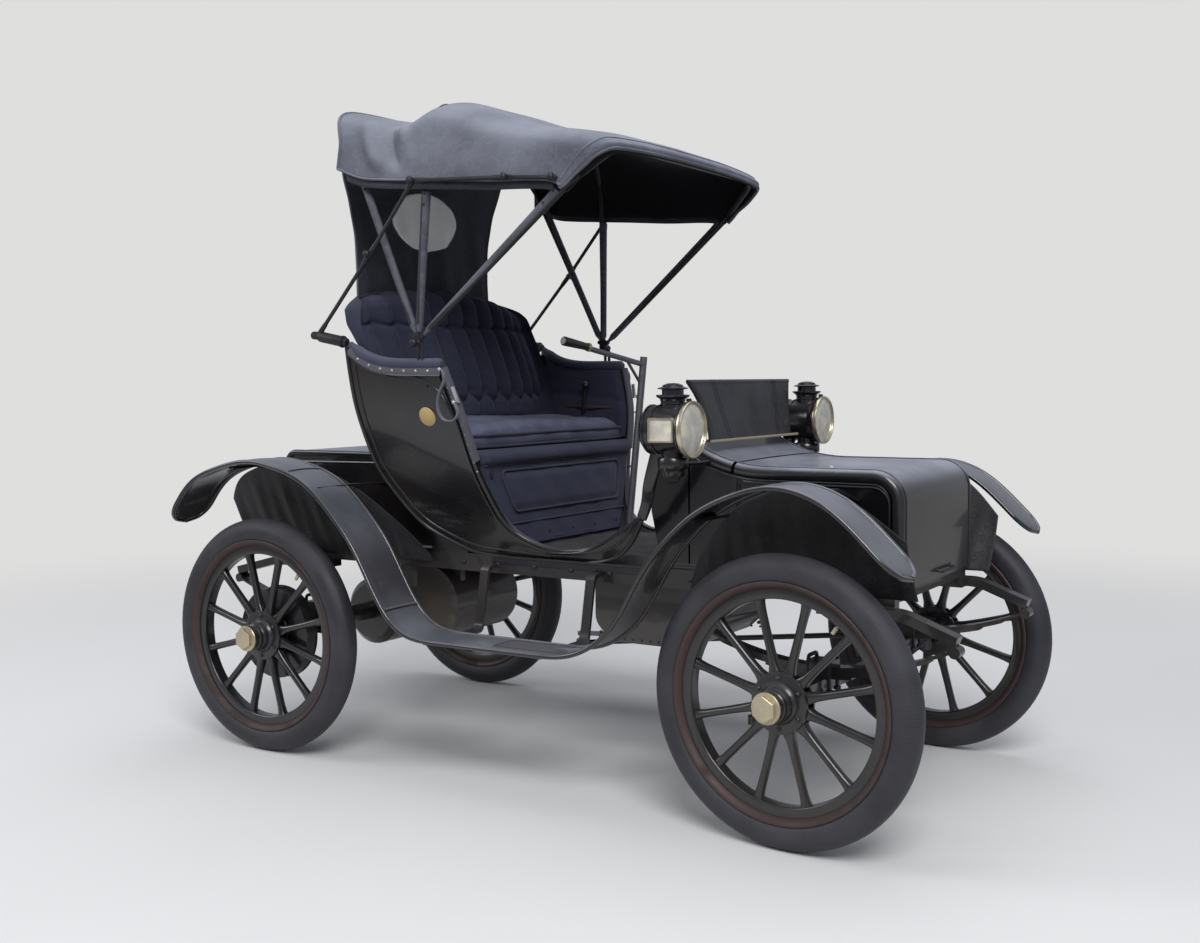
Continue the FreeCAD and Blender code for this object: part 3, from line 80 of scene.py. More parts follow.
def rounded(corners, closed=False, pieces=10):
    """Points of a line whose corners, rows of a place and a radius, turn on arcs: each arc swings
    from one tangent point to the other about the arc's middle."""
    table = np.array(corners, float)
    place, radius = table[:, :-1], table[:, -1:].copy()
    if not closed:
        radius[[0, -1]] = 0
    back, ahead = unit(np.roll(place, 1, 0) - place), unit(np.roll(place, -1, 0) - place)
    half = np.arccos((back * ahead).sum(1, keepdims=True).clip(-1, 1)) / 2
    half = half.clip(0.02, pi / 2 - 1e-4)
    reach = radius / np.tan(half)
    middle = place + unit(back + ahead) * radius / np.sin(half)
    first, last = place + back * reach - middle, place + ahead * reach - middle
    turn = (pi - 2 * half)[:, None]
    share = np.linspace(0, 1, pieces)[None, :, None]
    swing = np.sin((1 - share) * turn) * first[:, None] + np.sin(share * turn) * last[:, None]
    return (swing / np.sin(turn) + middle[:, None]).reshape(-1, place.shape[1])


def even(points, step=0.01, count=None, closed=False):
    """The line's points moved to equal distances along it."""
    points = np.asarray(points, float)
    if closed:
        points = np.vstack([points, points[:1]])
    along = distances(points)
    fresh = np.r_[True, np.diff(along) > 1e-9]
    along, points = along[fresh], points[fresh]
    count = count or max(3, int(round(along[-1] / step)) + 1)
    at = np.linspace(0, along[-1], count)
    return np.stack([np.interp(at, along, values) for values in points.T], axis=1)


def softened(line, reach, step=0.01):
    """A line eased by averaging: every place becomes the mean of its neighbours within reach,
    twice over, with both ends held."""
    line = even(line, step)
    count = max(int(reach / step), 1)
    weights = np.full(2 * count + 1, 1 / (2 * count + 1))
    for _ in range(2):
        ends = [2 * line[:1] - line[count:0:-1], line, 2 * line[-1:] - line[-2:-count - 2:-1]]
        padded = np.concatenate(ends)
        line = np.stack([np.convolve(padded[:, axis], weights, "valid")
                         for axis in range(line.shape[1])], 1)
    return line


def smooth(knots, values, at):
    """A curve through the values at the knots: a cubic on each stretch, whose slopes are the
    average slopes to each side."""
    knots, values = np.asarray(knots, float), np.asarray(values, float)
    at = np.clip(at, knots[0], knots[-1])
    slopes = np.gradient(values, knots, axis=0)
    cell = np.clip(np.searchsorted(knots, at, side="right") - 1, 0, len(knots) - 2)
    width = knots[cell + 1] - knots[cell]
    share = (at - knots[cell]) / width
    if values.ndim > 1:
        extra = (1,) * (values.ndim - 1)
        share, width = share.reshape(-1, *extra), width.reshape(-1, *extra)
    square, cube = share ** 2, share ** 3
    lean = (cube - 2 * square + share) * slopes[cell] + (cube - square) * slopes[cell + 1]
    return ((2 * cube - 3 * square + 1) * values[cell] + (3 * square - 2 * cube) * values[cell + 1]
            + lean * width)


def rise(values, low, high):
    """0 below low, 1 above high, and a smooth S between them."""
    share = np.clip((values - low) / (high - low), 0, 1)
    return share * share * (3 - 2 * share)


def looped(points):
    """A line with its first point again at its end."""
    return np.vstack([points, points[:1]])


def bar(start, end, step):
    """Even points from one place to another."""
    return even(np.array((start, end)), step)


def box_outline(half, radius, pieces=10):
    """A closed rectangle about the origin, given by its half sizes, with round corners."""
    corners = [(x * half[0], y * half[1], radius) for x, y in ((-1, -1), (1, -1), (1, 1), (-1, 1))]
    return looped(rounded(corners, closed=True, pieces=pieces))


def aside(flat, y):
    """Places in X and Z set at a distance to the side, one for all or one for each."""
    return np.stack([flat[..., 0], np.broadcast_to(y, flat.shape[:-1]), flat[..., 1]], -1)


def borders(*grids):
    """The values once round each grid's border."""
    return [np.concatenate([grid[0], grid[1:, -1], grid[-1, -2::-1], grid[-2::-1, 0]])
            for grid in grids]


def ring(width, height=None, count=16, power=2.0):
    """A closed oval profile: width times a power of the cosine by height times that of the sine,
    square for a large power and round for 2."""
    angle = np.linspace(0, 2 * pi, count + 1)
    height = width if height is None else height
    wide, tall = (np.sign(wave) * np.abs(wave) ** (2 / power)
                  for wave in (np.cos(angle), np.sin(angle)))
    return np.stack([width * wide, height * tall], axis=1)


def carried(profile, path, side, closed=False, size=None):
    """A profile held square to a path: its first number runs to the given side made square to
    the path, its second across both, and size scales it along the path."""
    path = np.asarray(path, float)
    if closed:
        inner = np.vstack([path[-2:-1], path, path[1:2]])
        ahead = unit(inner[2:] - inner[:-2])
    else:
        ahead = unit(np.gradient(path, axis=0))
    side = np.broadcast_to(np.asarray(side, float), path.shape)
    side = unit(side - (side * ahead).sum(1, keepdims=True) * ahead)
    across = np.cross(ahead, side)
    profile = np.asarray(profile, float)
    if profile.ndim == 2:
        profile = np.broadcast_to(profile, (len(path),) + profile.shape)
    if size is not None:
        profile = profile * np.asarray(size, float).reshape(-1, 1, 1)
    return path[:, None] + profile[..., :1] * side[:, None] + profile[..., 1:] * across[:, None]


def turned(profile, base, axis, count=32):
    """A profile of rows (radius, distance along the axis) swung once round the axis."""
    profile, axis = np.asarray(profile, float), unit(axis)
    first = unit(np.cross(axis, (0.0, 0.0, 1.0) if abs(axis[2]) < 0.9 else (1.0, 0.0, 0.0)))
    second = np.cross(axis, first)
    angle = np.linspace(0, 2 * pi, count + 1)
    spoke = np.cos(angle)[:, None] * first + np.sin(angle)[:, None] * second
    return (np.asarray(base, float) + profile[:, None, 1:] * axis
            + profile[:, None, :1] * spoke[None])


def stub(radius, low, high, base, axis, count):
    """A short round bar along an axis, from low to high past its base."""
    return turned(((0, low), (radius, low), (radius, high), (0, high)), base, axis, count)


def dome(radius, height, base, axis, count=10):
    """A low round head: radius times the cosine by height times the sine of a quarter turn."""
    angle = np.linspace(0, pi / 2, 4)
    rows = np.stack([radius * np.cos(angle), height * np.sin(angle)], axis=1)
    sunk = ((0.0, -height * 0.5), (radius, -height * 0.5))
    return turned(np.vstack([*sunk, rows]), base, axis, count)


class Shape:
    """Surfaces gathered into one mesh; each is a grid of points, rows along and columns round."""

    def __init__(self):
        self.points, self.faces, self.maps, self.total = [], [], [], 0

    def add(self, grid, caps=False):
        """Adds a grid's quads, with the lengths along its rows and columns as its map, and where
        caps is true a face over its first and last rows."""
        grid = np.asarray(grid, float)
        rows, columns = grid.shape[:2]
        number = np.arange(rows * columns).reshape(rows, columns) + self.total
        steps = [np.linalg.norm(np.diff(grid, axis=way), axis=2).mean(1 - way) for way in (0, 1)]
        lengths = [np.r_[0, np.cumsum(step)] for step in steps]
        spot = np.stack(np.meshgrid(*lengths, indexing="ij"), axis=-1)

        def quads(table):
            near, far = table[:-1], table[1:]
            return np.stack([near[:, :-1], near[:, 1:], far[:, 1:], far[:, :-1]], axis=2)

        self.faces += quads(number).reshape(-1, 4).tolist()
        self.maps.append(quads(spot).reshape(-1, 2))
        if caps:
            for row in (0, -1):
                self.faces.append(number[row, :-1].tolist())
                self.maps.append(np.zeros((columns - 1, 2)))
        self.points.append(grid.reshape(-1, 3))
        self.total += rows * columns
        return self

    def both(self, grid, caps=False):
        """Adds a grid and its mirror image on the car's other side."""
        grid = np.asarray(grid, float)
        return self.add(grid, caps).add(grid * (1, -1, 1), caps)

    def run(self, profile, path, side, size=None):
        """Adds a profile carried along a path, with both ends closed."""
        return self.add(carried(profile, path, side, size=size), caps=True)

    def run_both(self, profile, path, side, size=None):
        """Adds a profile carried along a path and its mirror image on the car's other side."""
        return self.both(carried(profile, path, side, size=size), caps=True)

    def join(self, other):
        """Adds all that another shape holds."""
        self.points += other.points
        self.faces += [[corner + self.total for corner in face] for face in other.faces]
        self.maps += other.maps
        self.total += other.total
        return self

    def mesh(self, name):
        """The mesh with its doubled points merged and its faces turned outward."""
        mesh = bpy.data.meshes.new(name)
        mesh.from_pydata(np.vstack(self.points), [], self.faces)
        layer = mesh.uv_layers.new(name="Surface")
        layer.data.foreach_set("uv", np.vstack(self.maps).ravel())
        work = bmesh.new()
        work.from_mesh(mesh)
        bmesh.ops.remove_doubles(work, verts=work.verts, dist=2e-6)
        bmesh.ops.recalc_face_normals(work, faces=work.faces)
        work.to_mesh(mesh)
        work.free()
        return mesh


def placed(name, data):
    """A new object in the scene."""
    made = bpy.data.objects.new(name, data)
    bpy.context.scene.collection.objects.link(made)
    return made


def piece(name, shape, finish, body, replaces=(), wall=0.0, offset=0.0, sharp=38):
    """One finished piece on a body: wall is the thickness given to an open sheet."""
    mesh = shape.mesh(name)
    mesh.polygons.foreach_set("use_smooth", np.ones(len(mesh.polygons), bool))
    mesh.set_sharp_from_angle(angle=radians(sharp))
    made = placed(name, mesh)
    mesh.materials.append(finish)
    if wall:
        thick = made.modifiers.new("wall", "SOLIDIFY")
        thick.thickness, thick.offset = wall, offset
    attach(made, body)
    if replaces:
        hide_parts(*replaces)
    return made


def dress(finish, *nodes):
    """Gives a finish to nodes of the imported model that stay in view."""
    for node in nodes:
        slots = frame["nodes"][node].data.materials
        slots.clear()
        slots.append(finish)


# ------------------------------------------------------------------ finishes
class Value:
    """A socket that Python's operators work on, each adding a Math node."""

    def __init__(self, finish, socket):
        self.finish, self.socket = finish, socket

    def maths(self, operation, *values):
        return self.finish.node("ShaderNodeMath", {"operation": operation}, dict(enumerate(values)))

    def __add__(self, other):
        return self.maths("ADD", self, other)

    def __sub__(self, other):
        return self.maths("SUBTRACT", self, other)

    def __rsub__(self, other):
        return self.maths("SUBTRACT", other, self)

    def __mul__(self, other):
        return self.maths("MULTIPLY", self, other)

    __radd__, __rmul__ = __add__, __mul__

    def sine(self):
        return self.maths("SINE", self)

    def size(self):
        return self.maths("ABSOLUTE", self)

    def least(self, other):
        return self.maths("MINIMUM", self, other)

    def rise(self, low, high):
        """0 at low, 1 at high and a smooth S between; low may be the larger."""
        return self.finish.node("ShaderNodeMapRange", {"interpolation_type": "SMOOTHSTEP"},
                                {"Value": self, "From Min": low, "From Max": high})


def opaque(colour):
    """A plain colour with its fourth number; a socket stays as it is."""
    return colour if isinstance(colour, Value) else tuple(colour) + (1.0,)


class Finish:
    """One procedural material."""

    def __init__(self, name):
        self.material = bpy.data.materials.new(name)
        self.material.use_nodes = True
        self.tree = self.material.node_tree
        self.tree.nodes.clear()
        self.shared = {}

    def node(self, kind, settings=None, inputs=None, output=0):
        """Adds a node with its settings and the values or links of its sockets."""
        made = self.tree.nodes.new(kind)
        for key, value in (settings or {}).items():
            setattr(made, key, value)
        for key, value in (inputs or {}).items():
            if isinstance(value, Value):
                self.tree.links.new(value.socket, made.inputs[key])
            else:
                made.inputs[key].default_value = value
        return Value(self, made.outputs[output]) if len(made.outputs) else None

    def coordinates(self, output="Object"):
        if output not in self.shared:
            self.shared[output] = self.node("ShaderNodeTexCoord", output=output)
        return self.shared[output]

    def part(self, vector, axis):
        return self.node("ShaderNodeSeparateXYZ", inputs={"Vector": vector}, output=axis)

    def stretched(self, scale, source="Object"):
        """Coordinates multiplied by a scale for each axis."""
        return self.node("ShaderNodeVectorMath", {"operation": "MULTIPLY"},
                         {0: self.coordinates(source), 1: scale})

    def noise(self, scale, detail=4.0, roughness=0.55, at=None):
        return self.node("ShaderNodeTexNoise", inputs={
            "Vector": at or self.coordinates(), "Scale": scale, "Detail": detail,
            "Roughness": roughness})

    def cells(self, scale, feature="F1", at=None):
        return self.node("ShaderNodeTexVoronoi", {"feature": feature},
                         {"Vector": at or self.coordinates(), "Scale": scale})

    def upward(self):
        """How far the surface faces up: 1 on top, 0 on a side and -1 below."""
        return self.part(self.coordinates("Normal"), "Z")

    def mix(self, factor, first, second):
        """A colour between two others."""
        return self.node("ShaderNodeMix", {"data_type": "RGBA"},
                         {0: factor, 6: opaque(first), 7: opaque(second)}, output=2)

    def bump(self, height, distance, under=None, strength=1.0):
        inputs = {"Height": height, "Distance": distance, "Strength": strength}
        if under is not None:
            inputs["Normal"] = under
        return self.node("ShaderNodeBump", inputs=inputs)

    def surface(self, colour, roughness, normal=None, **constants):
        """Ends the material in one shader; constants name its other sockets, spaces as _."""
        inputs = {"Base Color": opaque(colour), "Roughness": roughness}
        if normal is not None:
            inputs["Normal"] = normal
        inputs.update({key.replace("_", " "): value for key, value in constants.items()})
        shader = self.node("ShaderNodeBsdfPrincipled", inputs=inputs)
        self.node("ShaderNodeOutputMaterial", inputs={"Surface": shader})
        return self.material


def mixed(first, second, share):
    """A plain colour between two others."""
    return tuple(a + (b - a) * share for a, b in zip(first, second))


def paint(name, colour, dust_and_sky_colour, dust=0.5, gloss=0.28, brown=0.35, grime=0.0):
    """Old black paint: brown where it has thinned, with a pale colour on what faces up, faint
    brush-like streaks down the sides, fine scratches and an uneven gloss. The pale colour is dust,
    and on the hood, deck and fenders it is also a painted sky reflection."""
    f = Finish(name)
    cloud, fine = f.noise(3.1, 6), f.noise(46.0, 4)
    streak = f.noise(1.0, 5, at=f.stretched((34.0, 34.0, 2.6)))
    faded = mixed(colour, (0.040, 0.028, 0.022), brown)
    base = f.mix(cloud.rise(0.42, 0.68), colour, faded)
    base = f.mix(streak.rise(0.58, 0.80) * 0.16, base, mixed(colour, dust_and_sky_colour, 0.2))
    # Pale colour on upward faces: dust, and on the hood, deck and fenders also a painted sky
    # reflection.
    upward_dust_and_sky = f.upward().rise(0.30, 0.98) * (0.45 + 0.55 * cloud.rise(0.3, 0.7)) * dust
    speck = fine.rise(0.6, 0.78) * 0.12
    dust_and_sky_cover = (upward_dust_and_sky + speck * f.upward().rise(-0.2, 0.8)).least(0.9)
    base = f.mix(dust_and_sky_cover, base, dust_and_sky_colour)
    if grime:
        low = f.part(f.coordinates(), "Z").rise(0.85, 0.3) * cloud.rise(0.3, 0.6) * grime
        base = f.mix(low, base, (0.075, 0.062, 0.05))
    scratch = f.noise(1.0, 2, at=f.stretched((9.0, 60.0, 210.0))).rise(0.66, 0.74)
    rough = (gloss + cloud * 0.14 + dust_and_sky_cover * 0.4 + scratch * 0.1).least(0.95)
    height = fine * 0.35 + f.noise(7.0, 2) * 1.2 + scratch * 0.2
    return f.surface(base, rough, f.bump(height, 0.0003), Coat_Weight=0.45, Coat_Roughness=0.07)


def metal(name, colour, worn_colour, roughness=0.32, metallic=1.0, wear=0.5, depth=0.0003):
    """Bare or plated metal, duller and stained in patches, with fine pits."""
    f = Finish(name)
    cloud, fine = f.noise(11.0, 6), f.noise(120.0, 3)
    stain = (cloud.rise(0.45, 0.7) * 0.8 + fine.rise(0.55, 0.75) * 0.3).least(1.0) * wear
    base = f.mix(stain, colour, worn_colour)
    rough = (roughness + stain * 0.4 + fine * 0.08).least(0.95)
    return f.surface(base, rough, f.bump(fine + cloud * 2.0, depth),
                     Metallic=(metallic - stain * metallic * 0.6))


def hide(name, colour, dust_and_sky_colour, dust, grain=420.0, depth=0.0006, gloss=0.42, crease=0.5):
    """Leather or leathercloth: a pebbled grain of small cells, soft creases, rubbed paler on high
    spots, with a pale colour on what faces up. That colour is dust, and on the top's cover and its
    bindings it is also painted light: upper faces painted lit and the sides left darker."""
    f = Finish(name)
    pebble = f.cells(grain, "DISTANCE_TO_EDGE")
    cloud, crumple = f.noise(4.0, 6), f.noise(17.0, 7, 0.62)
    folded = (crumple - 0.5).size().rise(0.0, 0.05)
    base = f.mix(cloud.rise(0.35, 0.7), colour, mixed(colour, dust_and_sky_colour, 0.3))
    base = f.mix((1 - folded) * crease * 0.35, base, mixed(colour, dust_and_sky_colour, 0.75))
    # Pale colour on upward faces: dust, and on the top's cover and bindings also painted light, lit
    # tops and darker sides.
    upward_dust_and_sky = (f.upward().rise(0.02, 0.95) * (0.55 + 0.45 * cloud.rise(0.3, 0.65)) * dust).least(1.0)
    base = f.mix(upward_dust_and_sky, base, dust_and_sky_colour)
    rough = (gloss + cloud * 0.15 + upward_dust_and_sky * 0.3).least(0.95)
    under = f.bump(folded * crease + cloud * 1.5, depth * 3)
    return f.surface(base, rough, f.bump(pebble.rise(0.0, 0.12), depth * 0.5, under),
                     Specular_IOR_Level=0.4)


def cloth(name, colour, pale, thread=900.0, depth=0.0006, fade=0.5, source="Object"):
    """Woven wool: crossed threads of sine waves, faded in broad patches and where it faces up."""
    f = Finish(name)
    place = f.coordinates(source)
    x, y, z = (f.part(place, axis) for axis in "XYZ")
    warp = ((x + z) * thread).sine()
    weft = ((y + z * 0.31) * thread).sine()
    weave = warp * weft * 0.5 + 0.5
    cloud, lint = f.noise(5.0, 5), f.noise(260.0, 3)
    worn = (cloud.rise(0.4, 0.68) * 0.4 + f.upward().rise(0.1, 0.95) * 0.75) * fade
    base = f.mix(worn.least(1.0), colour, pale)
    base = f.mix(weave * 0.25 + lint.rise(0.55, 0.8) * 0.2, base, mixed(colour, pale, 0.8))
    under = f.bump(f.noise(34.0, 5), depth * 2.5)
    return f.surface(base, (0.82 + lint * 0.1), f.bump(weave, depth, under), Sheen_Weight=0.08,
                     Sheen_Roughness=0.45, Specular_IOR_Level=0.25)


# --------------------------------------------------------------- the car's own lines
def circle_through(first, second, third):
    """Middle and radius of the circle through three places in a plane."""
    a, b, c = (np.array(p, float) for p in (first, second, third))
    matrix = 2 * np.array([b - a, c - a])
    middle = np.linalg.solve(matrix, np.array([b @ b - a @ a, c @ c - a @ a]))
    return middle, np.linalg.norm(a - middle)


TUB_MIDDLE, TUB_RADIUS = circle_through((0.282, 0.636), (0.452, 0.950), (0.540, 1.320))


def tub_y(z, inward=0.0):
    """The tub's half width at a height: a circle's arc, flared towards the arms."""
    z = np.asarray(z, float)
    return TUB_MIDDLE[0] - inward + np.sqrt(TUB_RADIUS ** 2 - (z - TUB_MIDDLE[1]) ** 2)


# outlines in X and Z with a radius: the tub's rear and lower edge, its front edge, a fender
TUB_REAR = ((-0.581, 1.312, 0), (-0.576, 1.120, 0.150), (-0.545, 0.920, 0.150),
            (-0.440, 0.740, 0.110), (-0.270, 0.656, 0.090), (0.020, 0.644, 0))
TUB_FRONT = ((-0.215, 1.240, 0), (-0.168, 1.090, 0.090), (-0.150, 0.920, 0.090),
             (-0.105, 0.740, 0.070), (0.020, 0.682, 0.060), (0.170, 0.692, 0.090),
             (0.310, 0.765, 0.070), (0.390, 0.812, 0))
TUB_ARM = ((-0.574, 1.312, 0), (-0.520, 1.268, 0.080), (-0.420, 1.2475, 0.120), (-0.217, 1.2455, 0))
FENDER = ((-1.290, 0.734, 0), (-1.175, 0.888, 0.150), (-0.905, 0.962, 0.260),
          (-0.660, 0.900, 0.200), (-0.470, 0.715, 0.200), (-0.375, 0.545, 0.150),
          (-0.290, 0.437, 0.090), (0.325, 0.437, 0.110), (0.455, 0.520, 0.120),
          (0.560, 0.715, 0.150), (0.700, 0.862, 0.200), (0.925, 0.950, 0.200),
          (1.075, 0.890, 0.120), (1.250, 0.716, 0))
PIVOT = np.array((-0.304, 0.524, 1.324))


def on_tub(outline, outward=0.0, side=1, step=0.012, ease=0.045):
    """An outline in X and Z, eased at its bends, laid on the tub's outer face."""
    line = softened(rounded(outline), ease, step)
    return aside(line, side * (tub_y(line[:, 1]) + outward))


class WheelPlace:
    """A wheel's middle and its directions: outboard along the axle, ahead and up."""

    def __init__(self, corner):
        low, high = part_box("tyre_" + corner)
        self.corner, self.body = corner, "wheel_body_" + corner
        self.middle = (np.array(low) + np.array(high)) / 2
        axis = unit(JOINTS[self.body]["axis"])
        self.out = axis * np.sign(axis[1] * self.middle[1])
        self.ahead = unit(np.cross(self.out, (0, 0, 1.0)))
        self.rear = "rear" in corner

    def turned(self, profile, count=64):
        return turned(profile, self.middle, self.out, count)

    def at(self, radius, outward, angle):
        """The place at a radius, a distance outboard and an angle round the axle."""
        angle = np.asarray(angle, float)[..., None]
        return (self.middle + np.asarray(outward, float)[..., None] * self.out
                + np.asarray(radius, float)[..., None]
                * (np.cos(angle) * self.ahead + np.sin(angle) * np.array((0, 0, 1.0))))


def make_tyre(place, sizes, finish):
    """The tyre's section is a circle with two shallow grooves by each shoulder, swung round the
    axle."""
    angle = np.linspace(0, 2 * pi, 57)
    grooves = sum(np.exp(-((np.abs(np.sin(angle)) - at) / 0.03) ** 2) for at in (0.62, 0.78))
    radius = sizes.tyre_section - 0.0008 * grooves
    profile = np.stack([sizes.wheel_radius - sizes.tyre_section + radius * np.cos(angle),
                        radius * np.sin(angle)], axis=1)
    shape = Shape().add(place.turned(profile, 96))
    piece("tyre_rubber_" + place.corner, shape, finish, place.body,
          ["tyre_" + place.corner])


RIM = ((0.3100, 0.0305), (0.3128, 0.0325), (0.3126, 0.0352), (0.3098, 0.0368), (0.3066, 0.0362),
       (0.3020, 0.0335), (0.2975, 0.0290), (0.2940, 0.0235), (0.2922, 0.0205))


VALVE = ((0.0, 0.0), (0.0035, 0.0), (0.0035, 0.012), (0.0055, 0.013), (0.0055, 0.032),
         (0.0035, 0.034), (0.0, 0.035))
VALVE_ANGLE = 2.2


def make_rim(place, finish):
    """The clincher rim's section, one half mirrored, swung round the axle."""
    half = np.array(RIM)
    profile = np.vstack([half, half[::-1] * (1, -1), half[:1]])
    shape = Shape().add(place.turned(profile, 96))
    inward = place.middle - place.at(1, 0, VALVE_ANGLE)
    stem = turned(VALVE, place.at(0.268, 0.0, VALVE_ANGLE), inward, 12)
    piece("rim_" + place.corner, shape, finish["rim"], place.body)
    piece("valve_" + place.corner, Shape().add(stem), finish["brass"], place.body)


# a spoke's radius from the axle, half width, half depth and the power of its oval
SPOKE = ((0.050, 0.0135, 0.0150, 8.0), (0.070, 0.0175, 0.0150, 8.0), (0.080, 0.0160, 0.0150, 5.0),
         (0.092, 0.0134, 0.0146, 3.0), (0.112, 0.0120, 0.0140, 2.4), (0.160, 0.0110, 0.0132, 2.2),
         (0.210, 0.0110, 0.0128, 2.2), (0.245, 0.0118, 0.0132, 2.3), (0.262, 0.0134, 0.0142, 2.8),
         (0.268, 0.0148, 0.0150, 3.2))


def make_wheel_wood(place, sizes, finish):
    """Felloe: a rounded section swung round the axle. Each spoke: an oval whose width falls from
    a wedge foot between the flanges to a slim waist and swells again at the felloe."""
    corner = 0.006
    foot, top, half = 0.2656, 0.2930, 0.0210
    felloe = rounded(((top, -half, 0.002), (top, half, 0.002), (foot, half, corner),
                      (foot, -half, corner)), closed=True, pieces=5)
    shape = Shape().add(place.turned(looped(felloe), 96))
    reach, *section = np.array(SPOKE).T
    along = np.linspace(reach[0], reach[-1], 20)
    width, depth, power = (smooth(reach, values, along) for values in section)
    turn = np.linspace(0, 2 * pi, 15)
    cosine, sine = np.cos(turn), np.sin(turn)
    across = width[:, None] * np.sign(cosine) * np.abs(cosine) ** (2 / power[:, None])
    outward = depth[:, None] * np.sign(sine) * np.abs(sine) ** (2 / power[:, None])
    for angle in np.arange(sizes.spoke_count) * 2 * pi / sizes.spoke_count + pi / sizes.spoke_count:
        spoke = place.at(1, 0, angle) - place.middle
        round_it = place.at(1, 0, angle + pi / 2) - place.middle
        grid = (place.middle + along[:, None, None] * spoke + across[..., None] * round_it
                + outward[..., None] * place.out)
        shape.add(grid, caps=True)
    piece("wheel_wood_" + place.corner, shape, finish, place.body,
          ["wheel_" + place.corner])


# rows (radius, distance outboard), in order: hub and flanges, brake drum, cap's head, cap
HUB = ((0.0, 0.0835), (0.0360, 0.0835), (0.0385, 0.0815), (0.0395, 0.066), (0.0425, 0.0635),
       (0.0425, 0.052), (0.0450, 0.049), (0.0470, 0.034), (0.0530, 0.029), (0.0550, 0.0245),
       (0.0745, 0.0238), (0.0790, 0.0222), (0.0800, 0.0195), (0.0800, 0.0150), (0.0500, 0.0150),
       (0.0500, -0.0150), (0.0800, -0.0150), (0.0800, -0.0215), (0.0780, -0.0232),
       (0.0500, -0.0240), (0.0430, -0.0290), (0.0420, -0.0400), (0.0400, -0.0420), (0.0, -0.0420))
DRUM = ((0.040, -0.0320), (0.1460, -0.0320), (0.1490, -0.0335), (0.1500, -0.0360),
        (0.1500, -0.0745), (0.1530, -0.0750), (0.1530, -0.0780), (0.1440, -0.0780),
        (0.1440, -0.0380), (0.040, -0.0380), (0.040, -0.0320))
CAP_HEAD = ((0.0, 0.0904), (0.0300, 0.0904), (0.0300, 0.1035), (0.0278, 0.1055), (0.0120, 0.1062),
            (0.0, 0.1064))
CAP = ((0.0, 0.0838), (0.0400, 0.0838), (0.0412, 0.0850), (0.0412, 0.0885), (0.0400, 0.0900),
       (0.0340, 0.0905), (0.0, 0.0905))


def make_hub(place, finish):
    """Hub and flanges are one profile swung round the axle, with six round-headed bolts; the
    plated cap is a ring under a six-sided head whose edges are drawn in by a few millimetres."""
    shape = Shape().add(place.turned(HUB, 48))
    if place.rear:
        shape.add(place.turned(DRUM, 64))
    for angle in np.arange(6) * pi / 3 + pi / 6:
        spot = place.at(0.0655, 0.0236, angle)
        shape.add(stub(0.0085, 0.0, 0.0022, spot, place.out, 12))
        shape.add(dome(0.0060, 0.0052, spot + place.out * 0.0022, place.out, 12))
    piece("hub_" + place.corner, shape, finish["hub"], place.body)
    angle = np.linspace(0, 2 * pi, 37)
    flat = 1 / np.maximum(np.cos((angle + pi / 6) % (pi / 3) - pi / 6), 0.5)
    reach, outward = np.array(CAP_HEAD).T[..., None]
    radius = reach * np.where(reach > 0.02, flat, 1.0)
    head = place.at(radius, np.broadcast_to(outward, radius.shape), angle[None])
    cap = Shape().add(place.turned(CAP, 40)).add(head)
    piece("hub_cap_plate_" + place.corner, cap, finish["brass"], place.body,
          ["hub_cap_" + place.corner], sharp=24)


# ------------------------------------------------------------------ upholstery
CLOTH_FACE = 0.0075
CLOTH_FRAMES = 20
CUSHION_PRESSURE, CUSHION_MOVE = 3.0, 0.006


def plump(made, pressure, most):
    """Swells a padded piece: its mesh is remade in even faces and blown up as cloth, and no point
    keeps a move longer than most."""
    remesh = made.modifiers.new("even", "REMESH")
    remesh.mode, remesh.voxel_size = "VOXEL", CLOTH_FACE
    with bpy.context.temp_override(object=made, active_object=made, selected_objects=[made]):
        bpy.ops.object.modifier_apply(modifier=remesh.name)
    before = np.empty(len(made.data.vertices) * 3)
    made.data.vertices.foreach_get("co", before)
    blown = made.modifiers.new("blown", "CLOTH")
    blown.settings.use_pressure = True
    blown.settings.uniform_pressure_force = pressure
    blown.settings.effector_weights.gravity = 0
    blown.settings.quality = 4
    blown.settings.tension_stiffness = blown.settings.compression_stiffness = 12
    blown.settings.bending_stiffness = 0.6
    blown.point_cache.frame_start, blown.point_cache.frame_end = 1, CLOTH_FRAMES
    scene = bpy.context.scene
    for number in range(1, CLOTH_FRAMES + 1):
        scene.frame_set(number)
    seen = made.evaluated_get(bpy.context.evaluated_depsgraph_get()).data
    after = np.empty(len(seen.vertices) * 3)
    seen.vertices.foreach_get("co", after)
    made.modifiers.remove(blown)
    scene.frame_set(1)
    start, move = before.reshape(-1, 3), (after - before).reshape(-1, 3)
    length = np.linalg.norm(move, axis=1, keepdims=True)
    made.data.vertices.foreach_set("co", (start + move * np.minimum(
        1, most / np.maximum(length, 1e-9))).ravel())
    made.data.update()
    finer = made.modifiers.new("finer", "SUBSURF")
    finer.levels = finer.render_levels = 1
    made.data.polygons.foreach_set("use_smooth", np.ones(len(made.data.polygons), bool))
    return made


